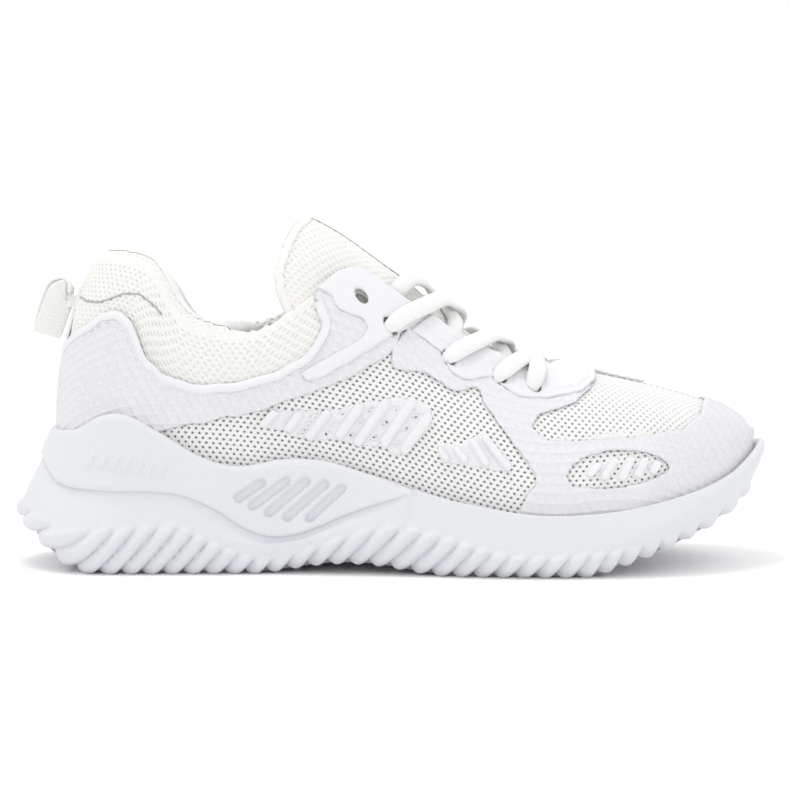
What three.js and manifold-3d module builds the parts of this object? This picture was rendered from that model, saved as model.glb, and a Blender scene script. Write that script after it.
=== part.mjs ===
// A right running shoe, in millimetres: +X runs from heel to toe, +Z is up, -Y is the outer (lateral) side.
// The origin is the middle of the footprint on the ground.
// Every layer of the upper is the same foot form, grown or shrunk by its depth in the layer stack.
import * as THREE from "three";
import { mergeVertices } from "three/addons/utils/BufferGeometryUtils.js";
import Module from "manifold-3d";

const wasm = await Module();
wasm.setup();

// ---------- driving dimensions ----------
const GAP = 0.3; // clearance between neighbouring pieces
const SOLE_LENGTH = 298.8;
const FORM_BACK = 16; // the foot form's heel and toe ends along X
const FORM_FRONT = 293;
const HEEL_ARC = 36; // length along X of the rounded heel and toe ends
const TOE_ARC = 52;
const WIDEST_SHARE = 0.28; // share of a section's height where it is widest
const BOARD = 2; // strobel board thickness
const INSOLE = 5;
const TUBE_SIDES = 6;
const FACET_TOLERANCE = 0.2; // facets flatter than this are joined

// Depth of each layer of the upper, outwards from the mesh's outer face.
const MESH = [-1.2, 0];
const FILLER_OUTSIDE = MESH[0] - GAP;
const OVERLAY = [GAP, 1.1];
const EYESTAY = [OVERLAY[1] + GAP, OVERLAY[1] + GAP + 1];
const LINING = 0.9;
const COUNTER = 1.6; // stiffener of the heel
const PUFF = 1.2; // stiffener of the toe
const PADDING = 6.5; // foam of the collar
const TONGUE_DEPTH = [-11, -6.8];

// ---------- smooth curves through chosen points ----------
function smooth(...pairs) {
  const last = pairs.length - 1;
  const slopes = pairs.map((_, i) => {
    const [x0, y0] = pairs[Math.max(i - 1, 0)];
    const [x1, y1] = pairs[Math.min(i + 1, last)];
    return (y1 - y0) / (x1 - x0);
  });
  return (x) => {
    if (x <= pairs[0][0]) return pairs[0][1];
    if (x >= pairs[last][0]) return pairs[last][1];
    const i = pairs.findIndex(([at]) => at > x) - 1;
    const span = pairs[i + 1][0] - pairs[i][0];
    const t = (x - pairs[i][0]) / span;
    const rise = pairs[i + 1][1] - pairs[i][1];
    const bend0 = slopes[i] * span - rise;
    const bend1 = rise - slopes[i + 1] * span;
    return pairs[i][1] + rise * t + t * (1 - t) * (bend0 * (1 - t) + bend1 * t);
  };
}

function ease(from, to, x) {
  return THREE.MathUtils.smoothstep(x, from, to);
}

// ---------- the foot form ----------
// Half-widths on each side, the middle line, and the top and bed heights, all against X.
const formLateral = smooth(
  [16, 34], [45, 34], [80, 33], [115, 33], [150, 37], [185, 44], [212, 47], [245, 46], [293, 41],
);
const formMedial = smooth(
  [16, 34], [45, 34], [80, 32], [115, 29], [150, 32], [185, 41], [212, 45], [245, 44], [293, 40],
);
const formMiddle = smooth([120, 0], [200, 1], [260, 5], [293, 8]);
const formTop = smooth(
  [16, 148], [70, 150], [105, 144], [130, 135], [153, 121], [170, 106], [192, 90.5],
  [212, 80.5], [235, 75], [258, 69.5], [278, 63], [289, 57], [293, 52],
);
// How square the top half of a section is: 2 is an ellipse.
const sectionPower = smooth(
  [110, 2.2], [135, 2.05], [152, 1.8], [172, 1.62], [206, 1.62], [235, 1.85], [275, 2.2],
);
const bedHeight = smooth(
  [16, 30], [60, 27], [110, 24], [160, 18], [205, 14], [240, 18], [265, 26], [282, 34], [293, 40],
);
const heelLean = smooth([45, 0], [64, 0], [77, 1.2], [90, 4], [104, 8], [114, 11.5], [126, 15]);
const FORM_DEPTH = 26; // how far the form's walls run on below the bed, for the layers to be trimmed
const WALL_START = 0.7; // share of the way from the ridge to the bottom edge where the wall stops swelling

// Stations run 0 at the heel end, 1 where the heel arc ends, 2 where the toe arc starts, 3 at the toe end.
function planStation(station, back, front, heelArc, toeArc) {
  if (station < 1) {
    const angle = (station * Math.PI) / 2;
    return { x: back + heelArc * (1 - Math.cos(angle)), share: Math.sin(angle) };
  }
  if (station > 2) {
    const angle = ((3 - station) * Math.PI) / 2;
    return { x: front - toeArc * (1 - Math.cos(angle)), share: Math.sin(angle) };
  }
  return { x: THREE.MathUtils.lerp(back + heelArc, front - toeArc, station - 1), share: 1 };
}

function formSection(x) {
  const bottom = bedHeight(x);
  const top = formTop(x);
  return { bottom, top, widest: bottom + (top - bottom) * WIDEST_SHARE };
}

// side is -1 (lateral) or 1 (medial); across runs 0 on the ridge to 1 at the bottom edge.
function formPoint(station, side, across, depthAt) {
  const reach = typeof depthAt === "number" ? depthAt : depthAt.most;
  const plan = planStation(station, FORM_BACK - reach, FORM_FRONT + reach, HEEL_ARC, TOE_ARC);
  const { bottom, top, widest } = formSection(plan.x);
  const power = sectionPower(plan.x);
  const rising = across < WALL_START;
  const angle = (Math.PI / 2) * (1 - across / WALL_START);
  const lift = rising ? Math.sin(angle) ** (2 / power) : 0;
  const spread = rising ? Math.cos(angle) ** (2 / power) : 1;
  const sunk = rising ? 0 : (across - WALL_START) / (1 - WALL_START);
  const z0 = widest + (top - widest) * lift - (widest - bottom + FORM_DEPTH) * sunk;
  const depth = typeof depthAt === "number" ? depthAt : depthAt(plan.x, z0);
  const half = (side < 0 ? formLateral(plan.x) : formMedial(plan.x)) + depth;
  const pulledIn = 1 - 0.1 * sunk * sunk;
  const lean = heelLean(z0) * (1 - ease(FORM_BACK, FORM_BACK + 70, plan.x));
  return [
    plan.x + lean + (reach - depth) * (plan.x < 100 ? 1 : -1) * (1 - plan.share) ** 2,
    formMiddle(plan.x) + side * half * spread * pulledIn * plan.share,
    z0 + depth * lift,
  ];
}

// The point of the form over a place in plan, raised by a depth.
function onForm(x, y, depth) {
  const { top, widest } = formSection(x);
  const fromMiddle = y - formMiddle(x);
  const half = fromMiddle < 0 ? formLateral(x) : formMedial(x);
  const spread = Math.min(Math.abs(fromMiddle) / half, 1);
  const power = sectionPower(x);
  const lift = (1 - spread ** power) ** (1 / power);
  return new THREE.Vector3(x, y, widest + (top - widest) * lift + depth);
}

// ---------- solids ----------
function geometryOf(vertices, triangles) {
  const geometry = new THREE.BufferGeometry();
  geometry.setAttribute("position", new THREE.Float32BufferAttribute(vertices.flat(), 3));
  geometry.setIndex(triangles.flat());
  return geometry;
}

function solidOf(source) {
  const bare = source.clone();
  bare.deleteAttribute("normal");
  bare.deleteAttribute("uv");
  const merged = mergeVertices(bare, 1e-3);
  const made = (triangles) => new wasm.Manifold(
    new wasm.Mesh({
      numProp: 3,
      vertProperties: merged.attributes.position.array,
      triVerts: new Uint32Array(triangles),
    }),
  );
  const triangles = Array.from(merged.index.array);
  const solid = made(triangles);
  return solid.volume() < 0 ? made(triangles.reverse()) : solid;
}

// A solid lofted between rings that all have the same number of points.
// Its two ends close flat, or the last ring joins the first.
function loft(rings, endless = false) {
  const count = rings[0].length;
  const vertices = rings.flat();
  const triangles = [];
  const joins = endless ? rings.length : rings.length - 1;
  for (let r = 0; r < joins; r++) {
    for (let i = 0; i < count; i++) {
      const j = (i + 1) % count;
      const a = r * count;
      const b = ((r + 1) % rings.length) * count;
      triangles.push([a + i, b + j, a + j], [a + i, b + i, b + j]);
    }
  }
  const last = (rings.length - 1) * count;
  for (let i = 1; i < count - 1 && !endless; i++) {
    triangles.push([0, i, i + 1], [last, last + i + 1, last + i]);
  }
  const place = (k) => vertices[k].map((c) => c.toFixed(3)).join();
  return solidOf(geometryOf(vertices, triangles.filter((t) => new Set(t.map(place)).size === 3)));
}

function stations(heelSteps, middleSteps, toeSteps) {
  const list = [];
  for (let i = 0; i < heelSteps; i++) list.push(i / heelSteps);
  for (let i = 0; i < middleSteps; i++) list.push(1 + i / middleSteps);
  for (let i = 0; i <= toeSteps; i++) list.push(2 + i / toeSteps);
  return list;
}

const FORM_STATIONS = stations(5, 13, 6);
const ACROSS = [1, 0.7, 0.57, 0.44, 0.3, 0.17, 0.07];

function formSolid(depthAt) {
  const rings = FORM_STATIONS.map((station) => [
    ...ACROSS.map((a) => formPoint(station, -1, a, depthAt)),
    formPoint(station, 1, 0, depthAt),
    ...ACROSS.map((a) => formPoint(station, 1, a, depthAt)).reverse(),
  ]);
  return loft(rings);
}

// A prism along Y whose outline is drawn in the side view, on one side of the shoe or both.
const PRISM_REACH = 80;
function sidePrism(outline, side = 0) {
  const shape = new THREE.Shape(outline.map(([x, z]) => new THREE.Vector2(x, z)));
  const depth = side ? PRISM_REACH : 2 * PRISM_REACH;
  const geometry = new THREE.ExtrudeGeometry(shape, { depth, bevelEnabled: false, curveSegments: 6 });
  geometry.rotateX(Math.PI / 2);
  geometry.translate(0, side < 0 ? 0 : PRISM_REACH, 0);
  return solidOf(geometry);
}

// A prism along Z whose outline is drawn in the top view.
function topPrism(outline, low, high) {
  const shape = new THREE.Shape(outline.map(([x, y]) => new THREE.Vector2(x, y)));
  const geometry = new THREE.ExtrudeGeometry(shape, { depth: high - low, bevelEnabled: false });
  geometry.translate(0, 0, low);
  return solidOf(geometry);
}

function curveOutline(points, steps) {
  const curve = new THREE.SplineCurve(points.map(([x, y]) => new THREE.Vector2(x, y)));
  const outline = curve.getPoints(steps).map((p) => [p.x, p.y]);
  const [x, y] = outline[0];
  const [endX, endY] = outline[steps];
  return Math.hypot(x - endX, y - endY) < 1e-6 ? outline.slice(0, -1) : outline;
}

function tube(points, radius, steps) {
  const section = new THREE.Shape();
  section.absarc(0, 0, radius, 0, Math.PI * 2);
  const path = new THREE.CatmullRomCurve3(points);
  const options = { steps, extrudePath: path, curveSegments: TUBE_SIDES / 2 };
  return solidOf(new THREE.ExtrudeGeometry(section, options));
}

// ---------- side-view lines shared by several pieces ----------
const RIM = curveOutline(
  [[22, 112], [26, 120.5], [32, 125.5], [39, 126.8], [46, 126], [53, 124], [58.5, 119.5], [62.5, 111.5],
    [68, 103.8], [76, 99], [86, 96.2], [95, 96], [104, 100.5], [113, 106.8], [119, 110.8], [127, 116.8],
    [133, 118.3], [140, 116]],
  28,
);
const COLLAR_LINE = curveOutline(
  [[14, 82], [24.6, 91.8], [36, 100], [42, 101], [47, 96], [52.4, 84], [63, 75.4], [80, 73], [99.6, 76.5],
    [115.6, 84.7], [123, 96], [121, 104], [112, 112]],
  20,
);
const OPENING = [[0, 100], ...RIM, [150, 170], [0, 170]];
const CRADLE_TOP = smooth(
  [10, 50], [18, 50], [24, 54], [36, 62.5], [44, 62], [57, 56], [74, 46], [88, 42.3], [106, 45],
  [122, 44.5], [142, 38.7], [162, 32.4], [180, 28.4], [205, 24.6], [230, 25], [250, 28], [271, 33],
  [284, 38], [291, 42.5], [296, 46.5], [299, 49],
);
const CRADLE_BOTTOM = smooth(
  [9, 44], [16, 36], [30, 34.3], [56, 33.6], [68, 31.5], [80, 26], [92, 18.4], [102, 15.6],
  [114, 17.4], [133, 25.3], [152, 31.5], [160, 34],
);
const CRADLE_FRONT = 156;

// ---------- the layers of the upper ----------
const rimHeight = smooth(
  [20, 110], [26, 120.5], [34, 126], [46, 126], [57, 121], [64, 109], [74, 100], [90, 96], [104, 100.5],
  [118, 110],
);
function fillerThickness(x, z) {
  const counter = COUNTER * (1 - ease(60, 85, x));
  const puff = PUFF * ease(240, 262, x);
  const nearRim = ease(rimHeight(x) - 42, rimHeight(x) - 18, z) * (1 - ease(80, 99, x));
  return Math.max(counter, puff, PADDING * nearRim);
}
const liningOutside = (x, z) => FILLER_OUTSIDE - GAP - fillerThickness(x, z);
const liningInside = (x, z) => liningOutside(x, z) - LINING;
const fillerInside = (x, z) => liningOutside(x, z) + GAP;
const fullDepth = FILLER_OUTSIDE - GAP;
liningOutside.most = fullDepth;
liningInside.most = fullDepth - LINING;
fillerInside.most = fullDepth + GAP;

const bedSlab = (low, high) => {
  const top = [];
  const under = [];
  for (let x = 0; x <= 310; x += 20) {
    top.push([x, bedHeight(x) + high]);
    under.unshift([x, bedHeight(x) + low]);
  }
  return sidePrism([...top, ...under]);
};
const belowBed = bedSlab(-90, GAP);
const opening = sidePrism(OPENING);
const THROAT = [[108, -27], [121, -21], [146, -18], [180, -16], [200, -13.5], [210, -8.5], [213, 0],
  [213, 3], [210, 11], [200, 15.5], [180, 17.5], [146, 18.5], [121, 21], [108, 27]];
const throat = topPrism(THROAT, 60, 170);
const openings = opening.add(throat);

function layer([inside, outside]) {
  return formSolid(outside).subtract(formSolid(inside)).subtract(openings).subtract(belowBed);
}

const meshLayer = layer(MESH);
const overlayLayer = layer(OVERLAY);
const eyestayLayer = layer(EYESTAY);
const liningLayer = layer([liningInside, liningOutside]);
const fillerLayer = layer([fillerInside, FILLER_OUTSIDE]);

// ---------- finishes ----------
const WHITE_MESH = { color: 0xf1f1ee, roughness: 0.9 };
const CREAM_MESH = { color: 0xefede6, roughness: 0.92 };
const WHITE_FILM = { color: 0xeeeef4, roughness: 0.5 };
const WHITE_FOAM = { color: 0xeff0f3, roughness: 0.75 };
const LACE_WHITE = { color: 0xf4f4f3, roughness: 0.85 };
const INNER_GREY = { color: 0xd8d8d4, roughness: 0.95 };

const shoe = new THREE.Group();

function addPiece(name, solid, finish) {
  const { vertProperties, triVerts } = solid.simplify(FACET_TOLERANCE).getMesh();
  const geometry = new THREE.BufferGeometry();
  geometry.setAttribute("position", new THREE.BufferAttribute(vertProperties, 3));
  geometry.setIndex(new THREE.BufferAttribute(triVerts, 1));
  geometry.computeVertexNormals();
  const mesh = new THREE.Mesh(geometry, new THREE.MeshStandardMaterial({ ...finish, metalness: 0 }));
  mesh.name = name;
  shoe.add(mesh);
}

const SIDES = [["lateral", -1], ["medial", 1]];

// ---------- sole unit ----------
const groundShape = smooth([0, 17], [6, 13], [13, 8], [20, 3], [30, 0], [92, 0], [123, 4], [141, 4], [172, 0],
  [224, 0], [240, 4.6], [262, 12.5], [281, 21], [292, 29], [298, 38]);
const groundLine = (x) => Math.max(groundShape(x), 0);
const flareHeight = smooth(
  [0, 22], [20, 15], [60, 15], [100, 12], [140, 16], [190, 9], [225, 10], [260, 22], [290, 36], [299, 44],
);
const treadTop = (x) => groundLine(x) + 4;
// Each level of the sole wall: its ends along X, how far it stands out from the foot form, and its height.
const SOLE_LEVELS = [
  { back: 6, front: 289, out: -1, height: groundLine },
  { back: 2, front: 294.5, out: 5.5, height: treadTop },
  { back: 0.3, front: 298.2, out: 7.5, height: (x) => Math.max(flareHeight(x), treadTop(x) + 2) },
  { back: 7, front: SOLE_LENGTH, out: 6.2, height: (x) => soleBand(x) },
  { back: 11.5, front: 298.3, out: 5, height: (x) => CRADLE_TOP(x) },
];
const soleBand = (x) => (x < CRADLE_FRONT ? CRADLE_BOTTOM(x) : (CRADLE_TOP(x) + flareHeight(x)) / 2 + 1);
const SOLE_STATIONS = stations(8, 30, 9);

function solePoint(level, station, side) {
  const plan = planStation(station, level.back, level.front, HEEL_ARC, TOE_ARC + 4);
  const half = (side < 0 ? formLateral(plan.x) : formMedial(plan.x)) + level.out;
  return [plan.x, formMiddle(plan.x) + side * half * plan.share, level.height(plan.x)];
}

const soleBlock = loft(SOLE_STATIONS.map((station) => [
  ...SOLE_LEVELS.map((level) => solePoint(level, station, -1)),
  ...SOLE_LEVELS.map((level) => solePoint(level, station, 1)).reverse(),
]));
const footSpace = formSolid(EYESTAY[1] + GAP).subtract(bedSlab(-90, -BOARD - GAP));
const upToTread = (gap) => sidePrism(alongX(0, SOLE_LENGTH, 12, (x) => treadTop(x) + gap, () => -20));
const outsoleBody = soleBlock.intersect(upToTread(0));
const soleRest = soleBlock.subtract(upToTread(GAP)).subtract(footSpace);

// An outline between two heights over a stretch of X, ends included.
function alongX(from, to, step, high, low) {
  const count = Math.max(2, Math.round((to - from) / step));
  const top = [];
  const under = [];
  for (let i = 0; i <= count; i++) {
    const x = from + ((to - from) * i) / count;
    top.push([x, high(x)]);
    under.unshift([x, low(x)]);
  }
  return [...top, ...under];
}

const cradleCore = formSolid(OVERLAY[1]);
const innerCore = formSolid(OVERLAY[1] - GAP);
const cradleBand = sidePrism(alongX(-5, CRADLE_FRONT, 7, () => 90, (x) => CRADLE_BOTTOM(x)));
const cradleBandGap = sidePrism(alongX(-5, CRADLE_FRONT + GAP, 7, () => 90, (x) => CRADLE_BOTTOM(x) - GAP));
const cradle = soleRest.subtract(cradleCore).intersect(cradleBand);
const midsole = soleRest.subtract(cradleBandGap.subtract(innerCore));

addPiece("outsole", outsoleBody, WHITE_FOAM);
addPiece("midsole", midsole, WHITE_FOAM);
addPiece("midsole_cradle", cradle, WHITE_FOAM);

// ---------- eyelets ----------
const EYELETS = [[135, 26], [146.5, 25.5], [170.4, 24.5], [192, 23], [206, 21]];
const EYELET_RADIUS = 2.9;
function surfaceAt(x, y) {
  const step = 0.5;
  const along = onForm(x + step, y, 0).sub(onForm(x - step, y, 0));
  const over = onForm(x, y + step, 0).sub(onForm(x, y - step, 0));
  return { point: onForm(x, y, 0), normal: along.cross(over).normalize() };
}
function atDepth(x, y, depth) {
  const { point, normal } = surfaceAt(x, y);
  return point.addScaledVector(normal, depth);
}
function eyeletCutter([x, y], side) {
  const { point, normal } = surfaceAt(x, side * y);
  const cylinder = new THREE.CylinderGeometry(EYELET_RADIUS, EYELET_RADIUS, 10, 12);
  const turn = new THREE.Quaternion().setFromUnitVectors(new THREE.Vector3(0, 1, 0), normal);
  cylinder.applyQuaternion(turn);
  cylinder.translate(point.x, point.y, point.z);
  return solidOf(cylinder);
}
const eyelets = SIDES.flatMap(([, side]) => EYELETS.map((at) => eyeletCutter(at, side)))
  .reduce((all, one) => all.add(one));

// ---------- inside the shoe ----------
const board = formSolid(MESH[1]).intersect(bedSlab(-BOARD, 0));
const insole = formSolid(fullDepth - COUNTER - LINING - 2 * GAP).intersect(bedSlab(GAP, INSOLE));
addPiece("strobel_board", board, INNER_GREY);
addPiece("insole", insole, WHITE_FOAM);
const COUNTER_TOP = 74;
const counterZone = sidePrism([[0, 0], [76, 0], [76, 50], [60, COUNTER_TOP], [0, COUNTER_TOP]]);
addPiece("heel_counter", fillerLayer.intersect(counterZone), INNER_GREY);
const puffZone = sidePrism([[258, 0], [310, 0], [310, 90], [266, 90]]);
addPiece("toe_puff", fillerLayer.intersect(puffZone), INNER_GREY);
const foamZone = sidePrism(
  [[0, COUNTER_TOP + GAP], [60, COUNTER_TOP + GAP], [80, 64], [92, 68], [95, 110], [0, 140]],
);
addPiece("collar_foam", fillerLayer.intersect(foamZone), WHITE_FOAM);
addPiece("lining", liningLayer.subtract(eyelets), CREAM_MESH);

// ---------- outlines of the panels, in the side view ----------
const COLLAR_ZONE = [[-10, 78], ...COLLAR_LINE, [112, 160], [-10, 160]];
const VAMP_SEAM = 205;
const QUARTER_ZONE = [[-10, 0], [VAMP_SEAM, 0], [VAMP_SEAM, 160], [-10, 160]];
const VAMP_ZONE = [[VAMP_SEAM + GAP, 0], [320, 0], [320, 160], [VAMP_SEAM + GAP, 160]];
const QUARTER_LOWER_EDGE = curveOutline(
  [[-10, 50], [40, 51], [58, 56], [78, 60.5], [99, 65], [124, 74], [143, 83], [150, 88]],
  14,
);
const HEEL_OVERLAY_ZONE = [...QUARTER_LOWER_EDGE, [153, 96], [160, 107], [160, 160], [-10, 160]];
const FOREFOOT_REAR_EDGE = curveOutline(
  [[197, 16], [203, 31], [207, 39], [198, 51], [187, 66], [183, 73], [174, 72], [163, 79], [151, 81],
    [151, 88]],
  24,
);
const FOREFOOT_ZONE = [
  ...FOREFOOT_REAR_EDGE, [154, 95], [161, 107], [161, 160], [320, 160], [320, 0], [197, 0],
];
const TOE_WINDOW = curveOutline(
  [[229, 100], [229, 73], [222, 67.5], [208, 64], [204.8, 59], [210, 54.6], [245, 54.6], [264, 57],
    [273, 62], [275, 72], [276, 100]],
  28,
);
const OVAL_WINDOW = curveOutline(
  [[219, 40.5], [224, 46.5], [237, 50], [252, 48.6], [259.5, 43], [250, 38.2], [236, 36], [223, 36.6],
    [219, 40.5]],
  20,
);
const EYESTAY_UPPER = [
  ...curveOutline([[114, 108], [119, 113], [127, 120], [134, 122], [142, 120], [153, 111], [164, 101]], 10),
  ...curveOutline([[155, 95.5], [139, 86.5], [128, 80.5], [117.4, 75.6], [113.4, 78.3]], 8),
  ...curveOutline([[123, 84], [135, 90.5], [139.4, 95.3], [137, 99.5], [130.8, 101.6], [127, 106]], 9),
];
const EYESTAY_LOWER = [
  [164.6, 100],
  ...curveOutline([[156, 94.6], [167, 87], [170, 81.6], [174, 77.1], [180, 75.6], [187.4, 76.5], [196, 70],
    [206, 68], [218, 69], [228.3, 73.5]], 18),
  [230, 100], [230, 130], [164.6, 130],
];

// The outline of a strip of even width along a line.
function stripAlong(line, width) {
  const left = [];
  const right = [];
  line.forEach(([x, z], i) => {
    const [x0, z0] = line[Math.max(i - 1, 0)];
    const [x1, z1] = line[Math.min(i + 1, line.length - 1)];
    const across = new THREE.Vector2(-(z1 - z0), x1 - x0).setLength(width / 2);
    left.push([x + across.x, z + across.y]);
    right.unshift([x - across.x, z - across.y]);
  });
  return [...left, ...right];
}

// The same outline, moved outwards by an amount.
function grown(outline, amount) {
  const turns = THREE.ShapeUtils.area(outline.map(([x, y]) => new THREE.Vector2(x, y)));
  return outline.map(([x, z], i) => {
    const [x0, z0] = outline[(i + outline.length - 1) % outline.length];
    const [x1, z1] = outline[(i + 1) % outline.length];
    const away = new THREE.Vector2(z1 - z0, -(x1 - x0)).setLength(Math.sign(turns) * amount);
    return [x + away.x, z + away.y];
  });
}

// ---------- panels of the upper ----------
const collarPrism = sidePrism(COLLAR_ZONE);
const collarPrismGrown = sidePrism(grown(COLLAR_ZONE, GAP));
const meshPanels = meshLayer.subtract(eyelets);
addPiece("collar_mesh", meshPanels.intersect(collarPrism), CREAM_MESH);
addPiece("vamp_mesh", meshPanels.intersect(sidePrism(VAMP_ZONE)), WHITE_MESH);
const heelTapeOutline = [[-20, -7], [40, -7], [40, 7], [-20, 7]];
const heelTapeGap = topPrism(grown(heelTapeOutline, GAP), 0, 200);
const overlayPanels = overlayLayer.subtract(eyelets);
const eyestayPanels = eyestayLayer.subtract(eyelets);
const centreGap = topPrism([[-20, -GAP / 2], [90, -GAP / 2], [90, GAP / 2], [-20, GAP / 2]], 0, 200);
const belowCollar = (panels) => panels.subtract(collarPrismGrown).subtract(centreGap);
for (const [name, side] of SIDES) {
  const quarter = belowCollar(meshPanels).intersect(sidePrism(QUARTER_ZONE, side));
  addPiece(`quarter_mesh_${name}`, quarter, WHITE_MESH);
  const heel = belowCollar(overlayPanels).intersect(sidePrism(HEEL_OVERLAY_ZONE, side));
  addPiece(`heel_overlay_${name}`, heel, WHITE_FILM);
  addPiece(`eyestay_upper_${name}`, eyestayPanels.intersect(sidePrism(EYESTAY_UPPER, side)), WHITE_FILM);
}
const windows = sidePrism(TOE_WINDOW).add(sidePrism(OVAL_WINDOW));
addPiece("forefoot_overlay", overlayPanels.intersect(sidePrism(FOREFOOT_ZONE)).subtract(windows), WHITE_FILM);
addPiece("eyestay_lower", eyestayPanels.intersect(sidePrism(EYESTAY_LOWER)), WHITE_FILM);

// ---------- collar piping and heel tape ----------
const PIPING_WIDTH = 3.4;
const pipingOutline = stripAlong(COLLAR_LINE.slice(1), PIPING_WIDTH);
const eyestayUpperGrown = sidePrism(grown(EYESTAY_UPPER, GAP));
const piping = eyestayLayer.intersect(sidePrism(pipingOutline))
  .subtract(heelTapeGap)
  .subtract(eyestayUpperGrown);
for (const [name, side] of SIDES) {
  addPiece(`collar_piping_${name}`, piping.intersect(sidePrism(QUARTER_ZONE, side)), WHITE_FILM);
}
addPiece("heel_tape", eyestayLayer.intersect(topPrism(heelTapeOutline, 58, 112)), WHITE_FILM);

// ---------- tongue ----------
const TONGUE_ZONE = [[103, 96], [102, 112], [106, 125], [112, 160], [214, 160], [214, 60], [200, 66],
  [170, 80], [140, 96], [122, 100]];
const TONGUE_HALF = 25;
const tongueTopView = topPrism(
  [[100, -TONGUE_HALF], [160, -TONGUE_HALF], [214, -13], [214, 15], [160, TONGUE_HALF], [100, TONGUE_HALF]],
  50,
  150,
);
const tongueEnd = sidePrism([[90, 180], [104, 110], [112, 134], [116, 137.5], [122, 138], [128, 180]]);
const tongueBody = formSolid(TONGUE_DEPTH[1]).subtract(formSolid(TONGUE_DEPTH[0]))
  .intersect(tongueTopView).intersect(sidePrism(TONGUE_ZONE)).subtract(tongueEnd);
// The flap lies on the base and turns about the top of its slanted front face, behind the lacing.
const FLAP = [[80, 104], [104, 108.5], [130, 113.5], [137, 115], [143, 122], [143, 180], [80, 180]];
const FLAP_GAP = 1.2;
addPiece("tongue_flap", tongueBody.intersect(sidePrism(FLAP)), CREAM_MESH);
addPiece("tongue_base", tongueBody.subtract(sidePrism(grown(FLAP, FLAP_GAP))), CREAM_MESH);

// ---------- moulded bars on the mesh ----------
const BAR_FILM = [GAP, 0.8];
const BAR = [GAP, 1.9];
// Each bar from its top end to its bottom end.
const REAR_BARS = [
  [[103.7, 63.6], [98.7, 58.5]],
  [[113.9, 63.9], [107.9, 55.9]],
  [[124.5, 64.1], [115.6, 53]],
  [[136.9, 67], [127.2, 53.5]],
  [[147.6, 68.5], [134.8, 50.9]],
  [[157.2, 68.7], [144.9, 50.5]],
  [[163.8, 62.7], [152.5, 48.1]],
];
const FRONT_BARS = [
  [[166.9, 50.1], [171, 45.4]],
  [[173.3, 50.4], [178.2, 45.1]],
  [[179.2, 53.6], [185.8, 43.7]],
  [[184.5, 55.3], [194.7, 42.1]],
];
const TOE_BARS = [
  [[233, 46.5], [229, 40.5]],
  [[242, 48], [237, 40]],
  [[250.5, 48], [245.5, 40.5]],
  [[256, 46], [253, 41.5]],
];
const REAR_FILM = curveOutline(
  [[96, 57], [100, 66], [125, 67.5], [150, 71.5], [167, 65], [163, 57], [154, 45], [145, 47.5], [134, 48],
    [118, 50.5], [96, 57]],
  18,
);
const FRONT_FILM = curveOutline(
  [[163, 51], [172, 53.5], [183, 58], [190, 55], [199, 42], [192, 39.5], [180, 41.5], [169, 43], [163, 51]],
  14,
);
const barLayer = formSolid(BAR[1]).subtract(formSolid(BAR[0])).subtract(belowBed);
const barFilmLayer = formSolid(BAR_FILM[1]).subtract(formSolid(BAR_FILM[0])).subtract(belowBed);
const overlayEdges = sidePrism(grown(FOREFOOT_ZONE, GAP))
  .subtract(sidePrism(grown(OVAL_WINDOW, -GAP / 2)))
  .add(sidePrism(grown(HEEL_OVERLAY_ZONE, GAP)));

function bars(lines, width, filmOutline, side) {
  const strips = lines.map((line) => sidePrism(stripAlong(line, width), side));
  const raised = strips.reduce((all, one) => all.add(one));
  const film = sidePrism(filmOutline, side);
  return barLayer.intersect(raised).add(barFilmLayer).intersect(film).subtract(overlayEdges);
}
for (const [name, side] of SIDES) {
  addPiece(`rear_bars_${name}`, bars(REAR_BARS, 2.7, REAR_FILM, side), WHITE_FILM);
  addPiece(`front_bars_${name}`, bars(FRONT_BARS, 4, FRONT_FILM, side), WHITE_FILM);
  addPiece(`toe_bars_${name}`, bars(TOE_BARS, 3, grown(OVAL_WINDOW, -GAP), side), WHITE_FILM);
}

// ---------- lace ----------
const LACE_RADIUS = 1.6;
const UNDER_RADIUS = 0.9;
const UNDER_DEPTH = -4.05;
const LACE_ROWS = EYELETS.slice(1).reverse(); // the rearmost eyelet is empty
const throatHalf = smooth([135, 19.5], [146, 18.3], [180, 16.8], [200, 14.5], [206, 12]);

// A strand over the tongue, from under one side's edge at a row to the other side's eyelet in the next row.
function overStrand([fromX], [toX, toY], side, height) {
  return tube([
    atDepth(fromX - 5, side * (throatHalf(fromX) - 4), UNDER_DEPTH + 1),
    atDepth(fromX - 6, side * (throatHalf(fromX) - 6.5), 1.5),
    atDepth((fromX + toX) / 2, 0, height),
    atDepth(toX + 2, -side * (throatHalf(toX) + 0.5), 5.6),
    atDepth(toX, -side * (toY - 1), 4.6),
    atDepth(toX, -side * toY, 1.2),
    atDepth(toX, -side * toY, -1.2),
  ], LACE_RADIUS, 14);
}

// The run under a row's eyelet, from the hole to the edge of the throat.
function underRun([x, y], side) {
  return tube([
    atDepth(x, side * y, 0),
    atDepth(x - 0.5, side * y, UNDER_DEPTH + 1.2),
    atDepth(x - 2, side * (y - 1.5), UNDER_DEPTH),
    atDepth(x - 4, side * (throatHalf(x) - 1), UNDER_DEPTH),
    atDepth(x - 5, side * (throatHalf(x) - 4), UNDER_DEPTH + 1),
  ], UNDER_RADIUS, 6);
}

// The straight strand across the toe end of the lacing.
function toeStrand([x, y]) {
  return tube([
    atDepth(x, -y, -1.2),
    atDepth(x, -y, 1.2),
    atDepth(x, -(y - 1), 4),
    atDepth(x + 2, -9, 5),
    atDepth(x + 3, 1, 4),
    atDepth(x + 2, 10, 5),
    atDepth(x, y - 1, 4),
    atDepth(x, y, 1.2),
    atDepth(x, y, -1.2),
  ], LACE_RADIUS, 16);
}

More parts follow.
